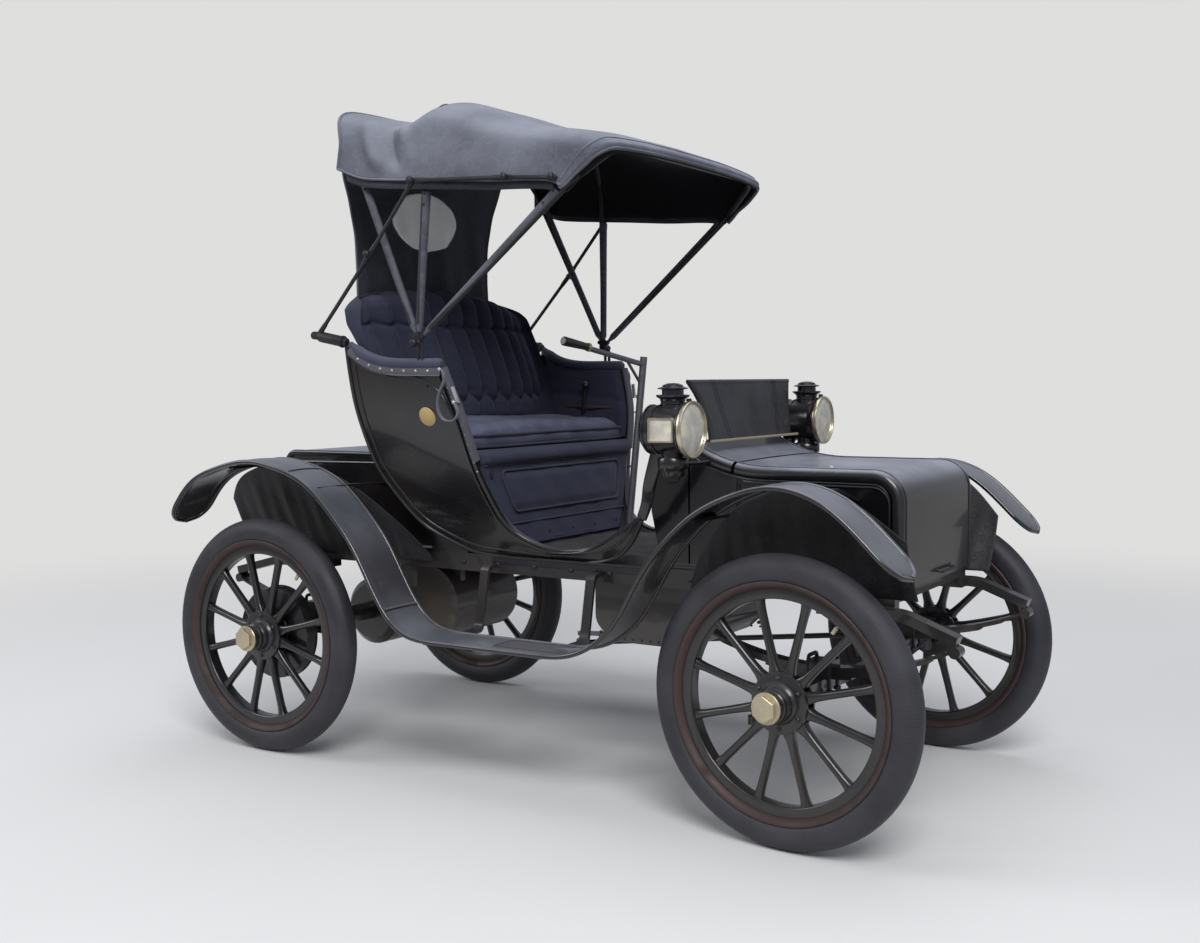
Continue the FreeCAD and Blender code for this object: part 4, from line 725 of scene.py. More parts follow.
def make_seat_cushion(finish):
    """Boxed cushion: a superellipse in plan and in side view, crowned on top, its front rolled
    and its sides drawn in at the piped seams; shallow folds run back from the front edge."""
    low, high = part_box("seat_cushion")
    across, along = np.linspace(-1, 1, 73), np.linspace(-1, 1, 49)
    u, v = np.meshgrid(along, across, indexing="ij")
    middle_x, half_x = (low.x + high.x) / 2, (high.x - low.x) / 2
    half_y = min(high.y, -low.y)
    pull = 0.004 * np.cos(pi * v) * (np.abs(u) > 0.9)
    x = middle_x + half_x * u * (1 - 0.10 * np.abs(v) ** 6) - pull
    y = half_y * v * (1 - 0.06 * np.abs(u) ** 6)
    edge = (1 - np.abs(u) ** 8) * (1 - np.abs(v) ** 14)
    crown = np.clip(edge, 0, 1) ** 0.35
    folds = np.abs(np.sin(y * 33 + 0.8 * np.sin(x * 23))) ** 0.6
    fold = 0.0120 * folds * rise(u, -0.3, 0.85) * edge
    fold += 0.022 * rise(0.75 - u, 0, 1.4) * edge
    dents = np.zeros_like(x)
    for row, at_x in enumerate((middle_x + 0.02, middle_x - 0.10)):
        for at_y in np.arange(-4, 5) * 0.095 + row * 0.0475:
            away = ((x - at_x) / 0.024) ** 2 + ((y - at_y) / 0.024) ** 2
            crease = -((x - at_x) / 0.06) ** 2 - ((y - at_y) / 0.007) ** 2
            dents += np.exp(-away) + 0.35 * np.exp(crease)
    swing = 0.004 * np.cos(y * 9 + 1) * edge
    top = high.z - 0.024 + 0.021 * crown + swing + fold - 0.018 * dents * edge
    foot = low.z + 0.010 - 0.0095 * crown
    shape = Shape().add(np.stack([x, y, top], -1)).add(np.stack([x, y, foot], -1))
    border, tops, feet = borders(np.stack([x, y], -1), top, foot)
    rows = np.linspace(0, 1, 9)[:, None]
    outward = unit(border - np.array((middle_x, 0.0)))
    swell = 0.011 * np.sin(pi * rows)[..., None] * (1 + 0.25 * np.sin(border[None, :, 1:] * 40))
    wall = np.concatenate([border[None] + outward[None] * swell,
                           (feet + (tops - feet) * rows)[..., None]], axis=-1)
    shape.add(wall)
    made = piece("seat_cushion_cloth", shape, finish["cushion"], "car",
                 ["seat_cushion"])
    plump(made, CUSHION_PRESSURE, CUSHION_MOVE)
    piping = Shape()
    for heights in (tops - 0.0015, feet + 0.004):
        line = np.column_stack([border + outward * 0.0015, heights])
        piping.add(carried(ring(0.0042, count=8), line, (0, 0, 1), closed=True))
    piece("seat_cushion_piping", piping, finish["piping"], "car")


RISER_FOOT, RISER_LEAN, RISER_CLEAR = (-0.105, 0.682), 0.053 / 0.303, 0.0015
BUTTON_ROWS = (1.392, 1.172)
BACK_BOW = 0.020
BACK_WING = -0.088  # how far the padding's ends lie behind its middle
BACK_CORNER = 0.075  # radius of the upper corners
BACK_SUNK = 0.026  # the tufting's foot behind the front line
# the seat back's front face: height and depth
BACK_LINE = np.array(((1.040, -0.462), (1.10, -0.462), (1.165, -0.478), (1.25, -0.502),
                      (1.33, -0.535), (1.390, -0.558), (1.435, -0.566), (1.472, -0.578),
                      (1.496, -0.602), (1.509, -0.640)))


def tuft(y, z, sizes):
    """How proud the tufted cloth stands, 0 to 1: the sine-like swell of upright channels between
    the buttons' columns, pinched along a scalloped line through the upper buttons, and parted
    under the lower buttons into creases half a space to the side."""
    pitch = sizes.tuft_pitch
    upper, lower = BUTTON_ROWS
    share = (y / pitch - 0.5) % 1.0
    near = np.minimum(share, 1 - share) * 2
    apart = rise(lower - z, 0.0, 0.045)
    away = np.minimum(np.abs(share - apart / 2), np.abs(1 - share - apart / 2)) * 2
    away = np.where(z < lower, away, near)
    proud = (1 - (1 - away.clip(0, 1)) ** 2) ** 0.95
    scallop = upper - 0.010 * np.sin(pi * share) ** 2
    line = np.exp(-((z - scallop) / 0.0075) ** 2) * (0.75 - 0.3 * near)
    foot = np.exp(-((z - lower + 0.006 * near) / 0.007) ** 2) * 0.45 * (1 - near)
    return (proud * (1 - line) - foot).clip(0, 1)


def back_bow(height, v):
    """How far the back's ends lie behind its middle just above the arms: its most times the
    fourth power of the share of the half width, fading above and below."""
    fade = rise(height, 1.27, 1.33) * (1 - rise(height, 1.38, 1.46))
    return -BACK_BOW * np.abs(v) ** 4 * fade


def make_seat_back(sizes, finish):
    """Tufted back: a leaning face whose height over the board is the tufting, less a dimple at
    each button, drawn to nothing along the border; the rear face closes it."""
    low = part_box("seat_back_cushion")[0]
    z, v = np.linspace(0, 1, 101), np.linspace(-1, 1, 361)
    crest = BACK_LINE[-1, 0]
    height = low.z + (crest - low.z) * np.sin(z * pi / 2) ** 0.85
    front = smooth(BACK_LINE[:, 0], BACK_LINE[:, 1], height)
    drop = np.clip(height - (crest - BACK_CORNER), 0, BACK_CORNER)
    half = 0.470 - 0.018 * rise(height, 1.36, crest) - BACK_CORNER + np.sqrt(
        np.maximum(BACK_CORNER ** 2 - drop ** 2, 0))
    between = tub_y(np.minimum(height, 1.31), 0.030) + 0.05 * rise(height, 1.26, 1.33)
    half = np.minimum(half, between)
    y = half[:, None] * v[None]
    sag = 0.034 * rise(height, 1.34, crest)[:, None] * np.abs(v[None]) ** 2.4
    zz = height[:, None] - sag
    border = (1 - np.abs(v[None]) ** 12).clip(0, 1) ** 0.5
    border = border * rise(height, low.z, low.z + 0.03)[:, None]
    dimple = np.zeros_like(y)
    buttons = []
    for level in BUTTON_ROWS:
        for number in np.arange(-5, 5) + 0.5:
            at = number * sizes.tuft_pitch
            dimple += np.exp(-(((y - at) / 0.012) ** 2 + ((zz - level) / 0.012) ** 2))
            buttons.append((at, level))
    wide = np.abs(v[None]) ** 4 * BACK_WING
    stand = sizes.tuft_height * (0.15 + 0.85 * tuft(y, zz, sizes)) - 0.014 * dimple
    ripple = 0.0012 * np.sin(y * 63 + zz * 41) * np.sin(zz * 57 - y * 17)
    x = front[:, None] - BACK_SUNK + (stand + wide + ripple) * border
    rear = np.interp(height, (1.040, 1.313, 1.459, 1.509), (-0.545, -0.575, -0.668, -0.668))
    back_x = rear[:, None] + back_bow(height[:, None], v[None])
    x = np.maximum(x, back_x + 0.004)
    shape = Shape().add(np.stack([x, y, zz], -1))
    shape.add(np.stack([back_x, y, zz], -1))
    edge = borders(x, y, zz, back_x)
    rows = np.linspace(0, 1, 7)[:, None]
    swell = 0.006 * np.sin(pi * rows)
    wall = np.stack([edge[0] + (edge[3] - edge[0]) * rows,
                     np.broadcast_to(edge[1], (7, len(edge[1]))) * (1 + swell),
                     edge[2] + 0.9 * swell * (edge[2] > 1.40)], -1)
    shape.add(wall)
    made = piece("seat_back_cloth", shape, finish["back"], "car",
                 ["seat_back_cushion"], sharp=80)
    heads = Shape()
    for at, level in buttons:
        depth = float(smooth(BACK_LINE[:, 0], BACK_LINE[:, 1], np.array([level]))[0])
        base = (depth - BACK_SUNK + sizes.tuft_height * 0.15 - 0.012
                + BACK_WING * (abs(at) / 0.44) ** 4, at, level)
        heads.add(dome(0.0068, 0.0045, base, unit((1.0, 0, 0.35)), 12))
    piece("seat_back_buttons", heads, finish["piping"], "car")
    make_seat_panel(finish)


def make_seat_panel(finish):
    """Back and floor of the tub with the stiff sheet behind the cushion: a line carried across
    the car, as wide as the tub's inside below the arms and narrower above them, where it ends in
    quarter-circle corners."""
    line = even(rounded(((-0.676, 1.452, 0), (-0.587, 1.318, 0.06), (-0.583, 1.290, 0.03))
                        + TUB_REAR[1:]), 0.008)
    height = line[:, 1]
    drop = np.clip(height - 1.352, 0, 0.0998)
    half = np.where(height > 1.306, 0.335 + np.sqrt(0.01 - drop ** 2), tub_y(height, 0.017))
    v = np.linspace(-1, 1, 41)
    y = half[:, None] * v[None]
    skins = []
    ahead = unit(np.gradient(line, axis=0))
    for depth in (0.0, 0.011):
        place = line + np.column_stack([-ahead[:, 1], ahead[:, 0]]) * depth
        skins.append(np.stack([place[:, :1] + back_bow(height[:, None], v[None]), y,
                               np.broadcast_to(place[:, 1:], y.shape)], -1))
    shape = Shape().add(skins[0]).add(skins[1])
    for row in (0, -1):
        shape.add(np.stack([skins[0][row], skins[1][row]]))
        shape.add(np.stack([skins[0][:, row], skins[1][:, row]]))
    piece("seat_back_sheet", shape, finish["body"], "car", ["seat_back_panel"])


def riser_x(z):
    """Depth of the seat riser's face at a height: it leans back from its foot."""
    return RISER_FOOT[0] - (z - RISER_FOOT[1]) * RISER_LEAN + RISER_CLEAR


def make_seat_front(finish):
    """Cloth over the seat's riser: a padded roll along its top, a flat fall whose framed panel
    swells between four lines of piping, and a hem band at its foot."""
    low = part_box("seat_front_panel")[0]
    v, w = np.linspace(-1, 1, 121), np.linspace(0, 1, 91)
    z = low.z + 0.012 + (0.992 - low.z - 0.012) * w
    half = tub_y(z, 0.016 + 0.006)
    y = half[:, None] * v[None]
    zz = np.broadcast_to(z[:, None], y.shape)
    plane = riser_x(z)
    frame_top, frame_low = 0.925, 0.797
    side = np.interp(z, (frame_low, frame_top), (0.300, 0.350))
    inside = (rise(side[:, None] - np.abs(y), 0.0, 0.03) * rise(frame_top - zz, 0.0, 0.03)
              * rise(zz - frame_low, 0.0, 0.03))
    band = rise(0.762 - zz, 0.0, 0.006)
    roll = 0.026 * np.sqrt(np.clip(1 - ((zz - 0.968) / 0.021) ** 2, 0, 1))
    edge = rise(1 - np.abs(v), 0.0, 0.05)[None]
    ripple = 0.0022 * np.sin(y * 37 + zz * 11) * np.sin(zz * 29 + y * 5)
    proud = 0.006 + 0.009 * inside + 0.003 * band + roll + ripple
    x = plane[:, None] + np.maximum(proud * (0.35 + 0.65 * edge), 0.001)
    shape = Shape().add(np.stack([x, y, zz], -1))
    rear = np.broadcast_to((plane - 0.006)[:, None], y.shape)
    shape.add(np.stack([rear, y, zz], -1))
    rim = borders(x, y, zz, rear)
    rows = np.linspace(0, 1, 3)[:, None]
    shape.add(np.stack([rim[0] + (rim[3] - rim[0]) * rows,
                        np.broadcast_to(rim[1], (3, len(rim[1]))),
                        np.broadcast_to(rim[2], (3, len(rim[2])))], -1))
    made = piece("seat_fall_cloth", shape, finish["back"], "car", sharp=80)

    def on_fall(corners, lift, closed=False):
        line = even(rounded(corners, closed), 0.012, closed=closed)
        return np.column_stack([riser_x(line[:, 1]) + lift, line])

    panel = ((0.352, frame_top, 0.02), (-0.352, frame_top, 0.02), (-0.300, frame_low, 0.02),
             (0.300, frame_low, 0.02))
    piping = Shape().add(carried(ring(0.0038, count=8), on_fall(panel, 0.011, True), (1, 0, 0),
                                 closed=True))
    for level, lift in ((0.944, 0.009), (0.762, 0.011), (0.703, 0.006)):
        reach = float(tub_y(level, 0.03))
        piping.run(ring(0.0032, count=8), on_fall(((-reach, level, 0), (reach, level, 0)), lift),
                   (1, 0, 0))
    piece("seat_fall_piping", piping, finish["piping"], "car")
    studs = Shape()
    for at in np.linspace(-0.27, 0.27, 5):
        studs.add(dome(0.0052, 0.003, on_fall(((at, 0.722, 0), (at + 0.001, 0.722, 0)), 0.0105)[0],
                       (1, 0, 0.17), 12))
    spot = on_fall(((-0.392, 0.915, 0), (-0.391, 0.915, 0)), 0.0095)[0]
    plate = box_outline((0.006, 0.011), 0.005)
    studs.add([spot + np.column_stack([np.full(len(plate), lift), plate * size])
               for size, lift in ((1, -0.004), (1, 0.0), (0.9, 0.0012))], caps=True)
    bolt = spot * (1, -1, 1) + (0.002, 0.03, -0.02)
    studs.add(stub(0.0035, -0.012, 0.012, bolt, (0, 1, 0), 10))
    piece("seat_fall_studs", studs, finish["iron"], "car")


STRAP = ((-0.226, 1.238, 0), (-0.206, 1.238, 0.008), (-0.197, 1.206, 0.03), (-0.222, 1.160, 0.06),
         (-0.226, 1.110, 0.05), (-0.200, 1.084, 0.024), (-0.156, 1.084, 0.024),
         (-0.148, 1.115, 0.02), (-0.172, 1.146, 0))


def make_grab_straps(finish):
    """Two-ply leather strap hung in a loop from each arm's front corner: a flat band carried
    along an eased line, with a seam along it, a screw at its head and a plate at its foot."""
    straps, plates = Shape(), Shape()
    flat = softened(rounded(STRAP), 0.008, 0.004)
    away = 0.016 + 0.006 * np.sin(np.linspace(0, pi, len(flat)))
    for side in SIDES:
        line = aside(flat, side * (tub_y(1.16) + away))
        for shift in (-0.0011, 0.0011):
            turn = unit(np.gradient(line, axis=0))
            out = np.stack([turn[:, 2], 0 * turn[:, 0], -turn[:, 0]], 1)
            straps.run(ring(0.0060, 0.0014, 14, 3.5), line + out * shift, (0, 1, 0))
        for at in (line[2], line[-3]):
            plates.add(dome(0.0062, 0.0040, at + (0, side * 0.003, 0), (0, side, 0.1), 14))
            post = bar(at, (at[0], side * float(tub_y(at[2], 0.002)), at[2]), 0.004)
            plates.run(ring(0.0035, count=8), post, (0, 0, 1))
        keeper = np.array(((-0.179, 1.186), (-0.166, 1.137)))
        path = aside(keeper, side * (tub_y(keeper[:, 1]) + 0.0035))
        plates.run(ring(0.0022, 0.0065, 12, 4), even(path, 0.006), (0, 1, 0))
    piece("grab_straps", straps, finish["strap"], "car", ["grab_handles"])
    piece("grab_strap_plates", plates, finish["bright"], "car")


LINING_FOOT = 1.000


def make_linings(finish):
    """Padded cloth inside each arm: a sheet at one depth inside the tub, from the seat back to
    the arm's front edge, with a swell between its welts."""
    s, t = np.linspace(0, 1, 61), np.linspace(0, 1, 25)
    top_line = even(rounded(TUB_ARM), count=200)
    front_line = even(rounded(TUB_FRONT), count=300)
    front_z, front_x = front_line[:90, 1][::-1], front_line[:90, 0][::-1]
    for side, name in ((-1, "right"), (1, "left")):
        reach = np.interp(1.12, front_z, front_x) - 0.012
        x_of = -0.560 + (reach + 0.560) * s
        high = np.interp(x_of, top_line[:, 0], top_line[:, 1]) - 0.006
        z = LINING_FOOT + (high[None] - LINING_FOOT) * t[:, None]
        x = np.broadcast_to(x_of[None], z.shape) + (np.interp(z, front_z, front_x)
                                                    - np.interp(1.12, front_z, front_x)) * s[None]
        border = (rise(s, 0, 0.06) * rise(1 - s, 0, 0.06))[None] * (rise(1 - t, 0, 0.12))[:, None]
        groove = np.exp(-((z - 1.135 + 0.02 * np.cos(x * 6)) / 0.007) ** 2)
        proud = 0.004 + 0.011 * border * (1 - 0.55 * groove) + 0.0012 * np.sin(x * 41) * border
        outer = tub_y(z, 0.0155)
        inner = outer - proud
        shape = Shape()
        for y in (inner, outer):
            shape.add(np.stack([x, side * y, z], -1))
        rim = borders(x, inner, outer, z)
        shape.add(np.stack([np.stack([rim[0], side * y, rim[3]], -1) for y in (rim[1], rim[2])]))
        made = piece("arm_lining_" + name, shape, finish["back"], "car", sharp=80)
    rolls, bands, studs, edge, bead = (Shape() for _ in range(5))
    for side in SIDES:
        line = on_tub(TUB_ARM, -0.010, side, 0.010) + (0, 0, 0.008)
        end = np.linspace(0, 1, len(line))
        size = 0.55 + 0.45 * rise(end, 0, 0.12) * rise(1 - end, 0, 0.03)
        rolls.run(ring(0.0185, 0.0175, 24), line, (0, 1, 0), size=size)
        low = on_tub(TUB_ARM, 0.0015, side, 0.010)
        bands.run(ring(0.0022, 0.0120, 14, 4), low - (0, 0, 0.0125), (0, 1, 0))
        bead.run(ring(0.0026, count=8), low + (0, side * 0.0012, -0.0265), (0, 1, 0))
        for nail in even(low + (0, side * 0.002, -0.0125), 0.045)[1:-1]:
            studs.add(dome(0.0046, 0.0032, nail, (0, side, -0.2), 10))
        front = on_tub(TUB_FRONT, -0.008, side, 0.010)
        upper = front[front[:, 2] > 0.955]
        edge.run(ring(0.0145, 0.0085, 16, 2.6), upper + (0.003, 0, 0.003), (0, 1, 0))
        bead.run(ring(0.0125, 0.0060, 16, 2.4), front + (0.001, 0, 0.001), (0, 1, 0))
        nails = even(on_tub(TUB_FRONT, 0.004, side, 0.01) + (0.002, 0, 0), 0.030)
        for nail in nails[1:12]:
            studs.add(dome(0.0030, 0.0022, nail, (0.5, side, 0), 8))
        for inset, thick in ((0.0, 0.0030), (0.011, 0.0024)):
            line = on_tub(TUB_FRONT, 0.0015, side, 0.012) - (inset + 0.004, 0, inset * 0.6)
            bead.run(ring(thick, count=8), line, (0, 1, 0))
    piece("arm_rolls", rolls, finish["arm"], "car")
    piece("arm_bands", bands, finish["webbing"], "car")
    piece("arm_studs", studs, finish["brass"], "car")
    piece("tub_front_binding", edge, finish["webbing"], "car")
    piece("tub_front_bead", bead, finish["moulding"], "car")
    make_grab_straps(finish)


def make_tub_sides(sizes, finish):
    """Each side of the tub: straight rulings between two eased lines that start at its rear top
    corner and end at the toe, one round the rear and under, one along the arm and down the
    front; the inner face lies one panel inside the outer, and a rim joins them."""
    arm = [(x, z - 0.001, r) for x, z, r in TUB_ARM]
    under = softened(rounded(TUB_REAR[:-1] + ((0.020, 0.644, 0.3), (0.250, 0.660, 0.10),
                                              (0.345, 0.735, 0.10), (0.392, 0.806, 0))), 0.05)
    over = np.vstack([even(rounded(arm), 0.01)[:-1], softened(rounded(TUB_FRONT[:-1] + (
        (0.310, 0.765, 0.070), (0.392, 0.806, 0))), 0.045)])
    count = 161
    first, last = even(under, count=count), even(over, count=count)
    share = np.linspace(0, 1, 33)[:, None, None]
    flat = first + (last - first) * share
    rim = np.concatenate([flat[0], flat[-1][::-1]])
    for side, name in ((-1, "right"), (1, "left")):
        shape = Shape()
        for inward in (0.0, sizes.panel):
            shape.add(aside(flat, side * tub_y(flat[..., 1], inward)))
        closed = looped(rim)
        shape.add([aside(closed, side * tub_y(closed[:, 1], inward))
                   for inward in np.linspace(0, sizes.panel, 3)])
        piece("tub_side_" + name, shape, finish["body"], "car",
              ["seat_side_" + name], sharp=40)


# how far the second bead lies inside each corner of the tub's rear line
TUB_INSET = ((0.026, -0.030), (0.026, 0), (0.024, 0.010), (0.019, 0.018), (0.006, 0.025),
             (0, 0.022))
# thickness as a share of the body bead, then the line under the arm
ARM_BEADS = (
    (0.75, ((-0.574, 1.298, 0), (-0.531, 1.257, 0.05), (-0.392, 1.227, 0.2), (-0.290, 1.210, 0.05),
            (-0.232, 1.175, 0.04), (-0.188, 1.085, 0))),
    (0.55, ((-0.566, 1.270, 0), (-0.532, 1.243, 0.05), (-0.392, 1.211, 0.2), (-0.275, 1.188, 0))))


def make_tub_beads(sizes, finish):
    """Half-round mouldings carried along the tub's outlines: the rear and lower edge twice, the
    second inside the first, one under the arm and one along the sill."""
    shape = Shape()
    radius = sizes.bead_radius
    for side in SIDES:
        shape.run(ring(radius, count=12), on_tub(TUB_REAR, 0.001, side), (0, 1, 0))
        inset = [(x + dx, z + dz, r) for (x, z, r), (dx, dz) in zip(TUB_REAR, TUB_INSET)]
        shape.run(ring(radius * 0.6, count=10), on_tub(inset, 0.0005, side), (0, 1, 0))
        for size, arm in ARM_BEADS:
            shape.run(ring(radius * size, count=10), on_tub(arm, 0.0005, side, ease=0.03),
                      (0, 1, 0))
        for drop, size in ((0.0, 1.0), (0.024, 0.6)):
            sill = ((-0.020, 0.6445 + drop, 0), (0.150, 0.650 + drop, 0.2),
                    (0.262 - drop, 0.672 + drop, 0.10), (0.345 - drop, 0.742, 0.10),
                    (0.388 - drop, 0.800, 0))
            shape.run(ring(radius * size, count=12), on_tub(sill, 0.001, side), (0, 1, 0))
    piece("tub_beads", shape, finish["moulding"], "car")
    disc = Shape().add(turned(((0, 0), (0.029, 0), (0.0305, 0.0008), (0.029, 0.0018), (0, 0.0018)),
                              (-0.295, -float(tub_y(1.095)), 1.095), (0, -1, -0.33), 40))
    piece("side_disc", disc, finish["disc"], "car")


# ----------------------------------------------------------------- folding top
# each row is a cross section of the cover, from its eave to the middle of the roof
ROOF = (
    ((-0.597, 0.546, 1.858), (-0.594, 0.541, 1.900), (-0.594, 0.535, 1.940), (-0.612, 0.520, 1.990),
     (-0.628, 0.497, 2.024), (-0.638, 0.452, 2.047), (-0.645, 0.360, 2.058), (-0.648, 0.180, 2.061),
     (-0.648, 0.0, 2.062)),
    ((-0.500, 0.541, 1.822), (-0.500, 0.534, 1.870), (-0.498, 0.524, 1.915), (-0.500, 0.505, 1.960),
     (-0.503, 0.480, 1.990), (-0.505, 0.437, 2.008), (-0.505, 0.345, 2.022), (-0.505, 0.180, 2.030),
     (-0.505, 0.0, 2.034)),
    ((-0.422, 0.537, 1.812), (-0.420, 0.531, 1.850), (-0.418, 0.519, 1.900), (-0.416, 0.499, 1.945),
     (-0.414, 0.474, 1.972), (-0.412, 0.430, 1.988), (-0.410, 0.340, 1.998), (-0.410, 0.180, 2.008),
     (-0.410, 0.0, 2.013)),
    ((-0.283, 0.531, 1.800), (-0.283, 0.524, 1.860), (-0.283, 0.508, 1.920), (-0.283, 0.485, 1.981),
     (-0.283, 0.457, 2.012), (-0.283, 0.414, 2.037), (-0.283, 0.330, 2.055), (-0.283, 0.180, 2.061),
     (-0.283, 0.0, 2.062)),
    ((-0.060, 0.528, 1.780), (-0.055, 0.522, 1.812), (-0.045, 0.513, 1.854), (-0.030, 0.498, 1.902),
     (-0.018, 0.475, 1.930), (-0.008, 0.430, 1.952), (0.000, 0.335, 1.965), (0.005, 0.180, 1.968),
     (0.006, 0.0, 1.969)),
    ((0.208, 0.523, 1.748), (0.224, 0.520, 1.762), (0.244, 0.517, 1.786), (0.274, 0.516, 1.812),
     (0.302, 0.512, 1.836), (0.330, 0.490, 1.857), (0.343, 0.440, 1.868), (0.351, 0.250, 1.877),
     (0.353, 0.0, 1.879)),
    ((0.214, 0.524, 1.741), (0.231, 0.518, 1.756), (0.252, 0.515, 1.779), (0.283, 0.513, 1.803),
     (0.312, 0.508, 1.826), (0.340, 0.486, 1.846), (0.354, 0.438, 1.857), (0.361, 0.250, 1.866),
     (0.363, 0.0, 1.868)),
    ((0.210, 0.519, 1.738), (0.229, 0.513, 1.752), (0.251, 0.509, 1.773), (0.283, 0.507, 1.794),
     (0.311, 0.501, 1.816), (0.339, 0.480, 1.835), (0.352, 0.434, 1.845), (0.360, 0.250, 1.853),
     (0.362, 0.0, 1.855)),
)
ROOF_KNOTS = (0.0, 0.14, 0.24, 0.40, 0.64, 0.955, 0.98, 1.0)


def roof_grid(rows, columns, drop=0.0):
    """The cover's surface: smooth curves through the sections along the car, and through each
    section's places across it; drop moves it down."""
    table = np.array(ROOF)
    at = np.linspace(0, 1, rows)
    along = smooth(ROOF_KNOTS, table, at)
    knots = np.linspace(0, 1, table.shape[1])
    half = smooth(knots, along.transpose(1, 0, 2), np.linspace(0, 1, columns)).transpose(1, 0, 2)
    whole = np.concatenate([half, half[:, -2::-1] * (1, -1, 1)], axis=1)
    return whole - (0, 0, drop)


def make_roof(finish):
    """One sheet of leathercloth over the three bows, sagging between them, with soft folds that
    run down from the bows to the eaves."""
    grid = roof_grid(97, 49)
    x, y, z = grid[..., 0], grid[..., 1], grid[..., 2]
    edge = rise(np.abs(y), 0.30, 0.50)
    dip = np.exp(-((x + 0.43) / 0.11) ** 2)
    slant = x + 0.55 * (z - 1.90)
    pleat = np.exp(-((slant + 0.47) / 0.030) ** 2) - 0.8 * np.exp(-((slant + 0.405) / 0.022) ** 2)
    pleat += 0.6 * np.exp(-((slant + 0.345) / 0.018) ** 2) * rise(z, 1.80, 1.95)
    gather = 0.0026 * np.sin(x * 150) * np.exp(-((x + 0.285) / 0.05) ** 2) * rise(2.0 - z, 0, 0.15)
    fold = (0.026 * dip * pleat + gather) * edge * rise(z, 1.815, 1.88)
    wave = 0.0022 * np.sin(x * 17 + y * 11) * np.sin(y * 9 - x * 5)
    ends = rise(x, -0.645, -0.60) * rise(0.34 - x, 0, 0.08)
    grid = np.stack([x, y + np.sign(y) * fold * ends, z + wave * ends * (1 - edge)
                     - 0.006 * dip * (1 - edge) * np.cos(y * 14)], -1)
    made = piece("roof_leather", Shape().add(grid), finish["top"], "car",
                 ["roof_cover"], wall=0.0022, sharp=70)
    lining = Shape().add(roof_grid(49, 25, 0.009) * (1, 0.938, 1))
    inner = piece("roof_lining", lining, finish["lining"], "car", wall=0.0015)
    trim, seams = Shape(), Shape()
    flap = grid[4:-9, 0] * (1, 0.985, 1)
    hung = np.stack([flap + (0, 0, 0.004), flap - (0, 0, 0.012), flap - (0, 0, 0.026)])
    hung[..., 1] += np.sign(hung[..., 1]) * 0.0015 * np.sin(hung[..., 0] * 40)
    band = Shape().both(hung)
    inner_flap = piece("roof_flap", band, finish["curtain"], "car", wall=0.0018)
    eave = grid[:, 0]
    trim.run_both(ring(0.0052, 0.004, 10), even(eave, 0.012), (0, 1, 0))
    trim.run(ring(0.0062, 0.0050, 12), even(grid[-1], 0.014), (1, 0, 0.4))
    trim.run(ring(0.0052, 0.0045, 12), even(grid[0], 0.014), (1, 0, 0))
    seams.run(ring(0.0036, 0.0016, 8), even(grid[90] * (1, 1.0015, 1) + (0, 0, 0.0012), 0.014),
              (1, 0, 0))
    piece("roof_beads", trim, finish["binding"], "car")
    piece("roof_seams", seams, finish["top"], "car")


CURTAIN = ((0.455, 2.030, 0.05), (0.413, 1.862, 0.3), (0.385, 1.800, 0.3), (0.356, 1.683, 0.3),
           (0.350, 1.560, 0.2), (0.352, 1.440, 0.02), (0.340, 1.405, 0.02))


def curtain_x(y, z):
    """Depth of the curtain: it hangs from the rear bow, bows out a little, and waves more towards
    its free lower edge."""
    x = smooth((1.40, 1.478, 1.62, 1.75, 1.87, 1.96, 2.032),
               (-0.6990, -0.7045, -0.707, -0.706, -0.698, -0.682, -0.655), z)
    loose = rise(1.95 - z, 0.0, 0.35)
    return x + loose * (0.005 * np.sin(y * 27 + z * 3.1) + 0.0022 * np.sin(y * 61 + z * 9))


def make_curtain(finish):
    """Sheet between an oval window and the curtain's outline: places spread from the oval to the
    outline along rays from the window's middle."""
    window = np.array((0.0, 1.752))
    radii = (0.168, 0.097)
    left = rounded(CURTAIN)
    outline = even(np.vstack([left, left[::-1] * (-1, 1)]), count=241, closed=True)
    angle = np.arctan2(outline[:, 1] - window[1], outline[:, 0])
    oval = np.column_stack([radii[0] * np.cos(angle), radii[1] * np.sin(angle)]) + window
    share = np.linspace(0, 1, 31)[:, None, None]
    flat = oval + (outline - oval) * share
    x = curtain_x(flat[..., 0], flat[..., 1])
    grid = np.concatenate([x[..., None], flat], -1)
    made = piece("curtain_leather", Shape().add(grid), finish["curtain"], "car",
                 ["back_curtain"], wall=0.002, sharp=70)
    rows = np.linspace(0, 1, 12)[:, None, None]
    pane = window + (oval - window) * rows * 1.03
    x = curtain_x(pane[..., 0], pane[..., 1]) + 0.0022
    x = x + 0.0012 * np.sin(pane[..., 0] * 55 + pane[..., 1] * 31)
    # The pane's finish glows faintly: painted daylight seen through the window.
    sheet = piece("window_pane_glowing", Shape().add(np.concatenate([x[..., None], pane], -1)),
                  finish["pane"], "car", ["curtain_window"], wall=0.001, sharp=70)
    trim = Shape()
    for size, thick in ((1.02, 0.0016), (1.08, 0.0009)):
        line = window + (oval - window) * size
        path = np.column_stack([curtain_x(line[:, 0], line[:, 1]) + 0.0025, line])
        trim.add(carried(ring(thick, thick * 0.7, 8), path, (0, 0, 1), closed=True))
        trim.add(carried(ring(thick, thick * 0.7, 8), path - (0.0045, 0, 0), (0, 0, 1),
                         closed=True))
    edge = np.column_stack([curtain_x(outline[:, 0], outline[:, 1]), outline])
    trim.add(carried(ring(0.0036, 0.0028, 8), edge, (1, 0, 0), closed=True))
    piece("curtain_bindings", trim, finish["binding"], "car")


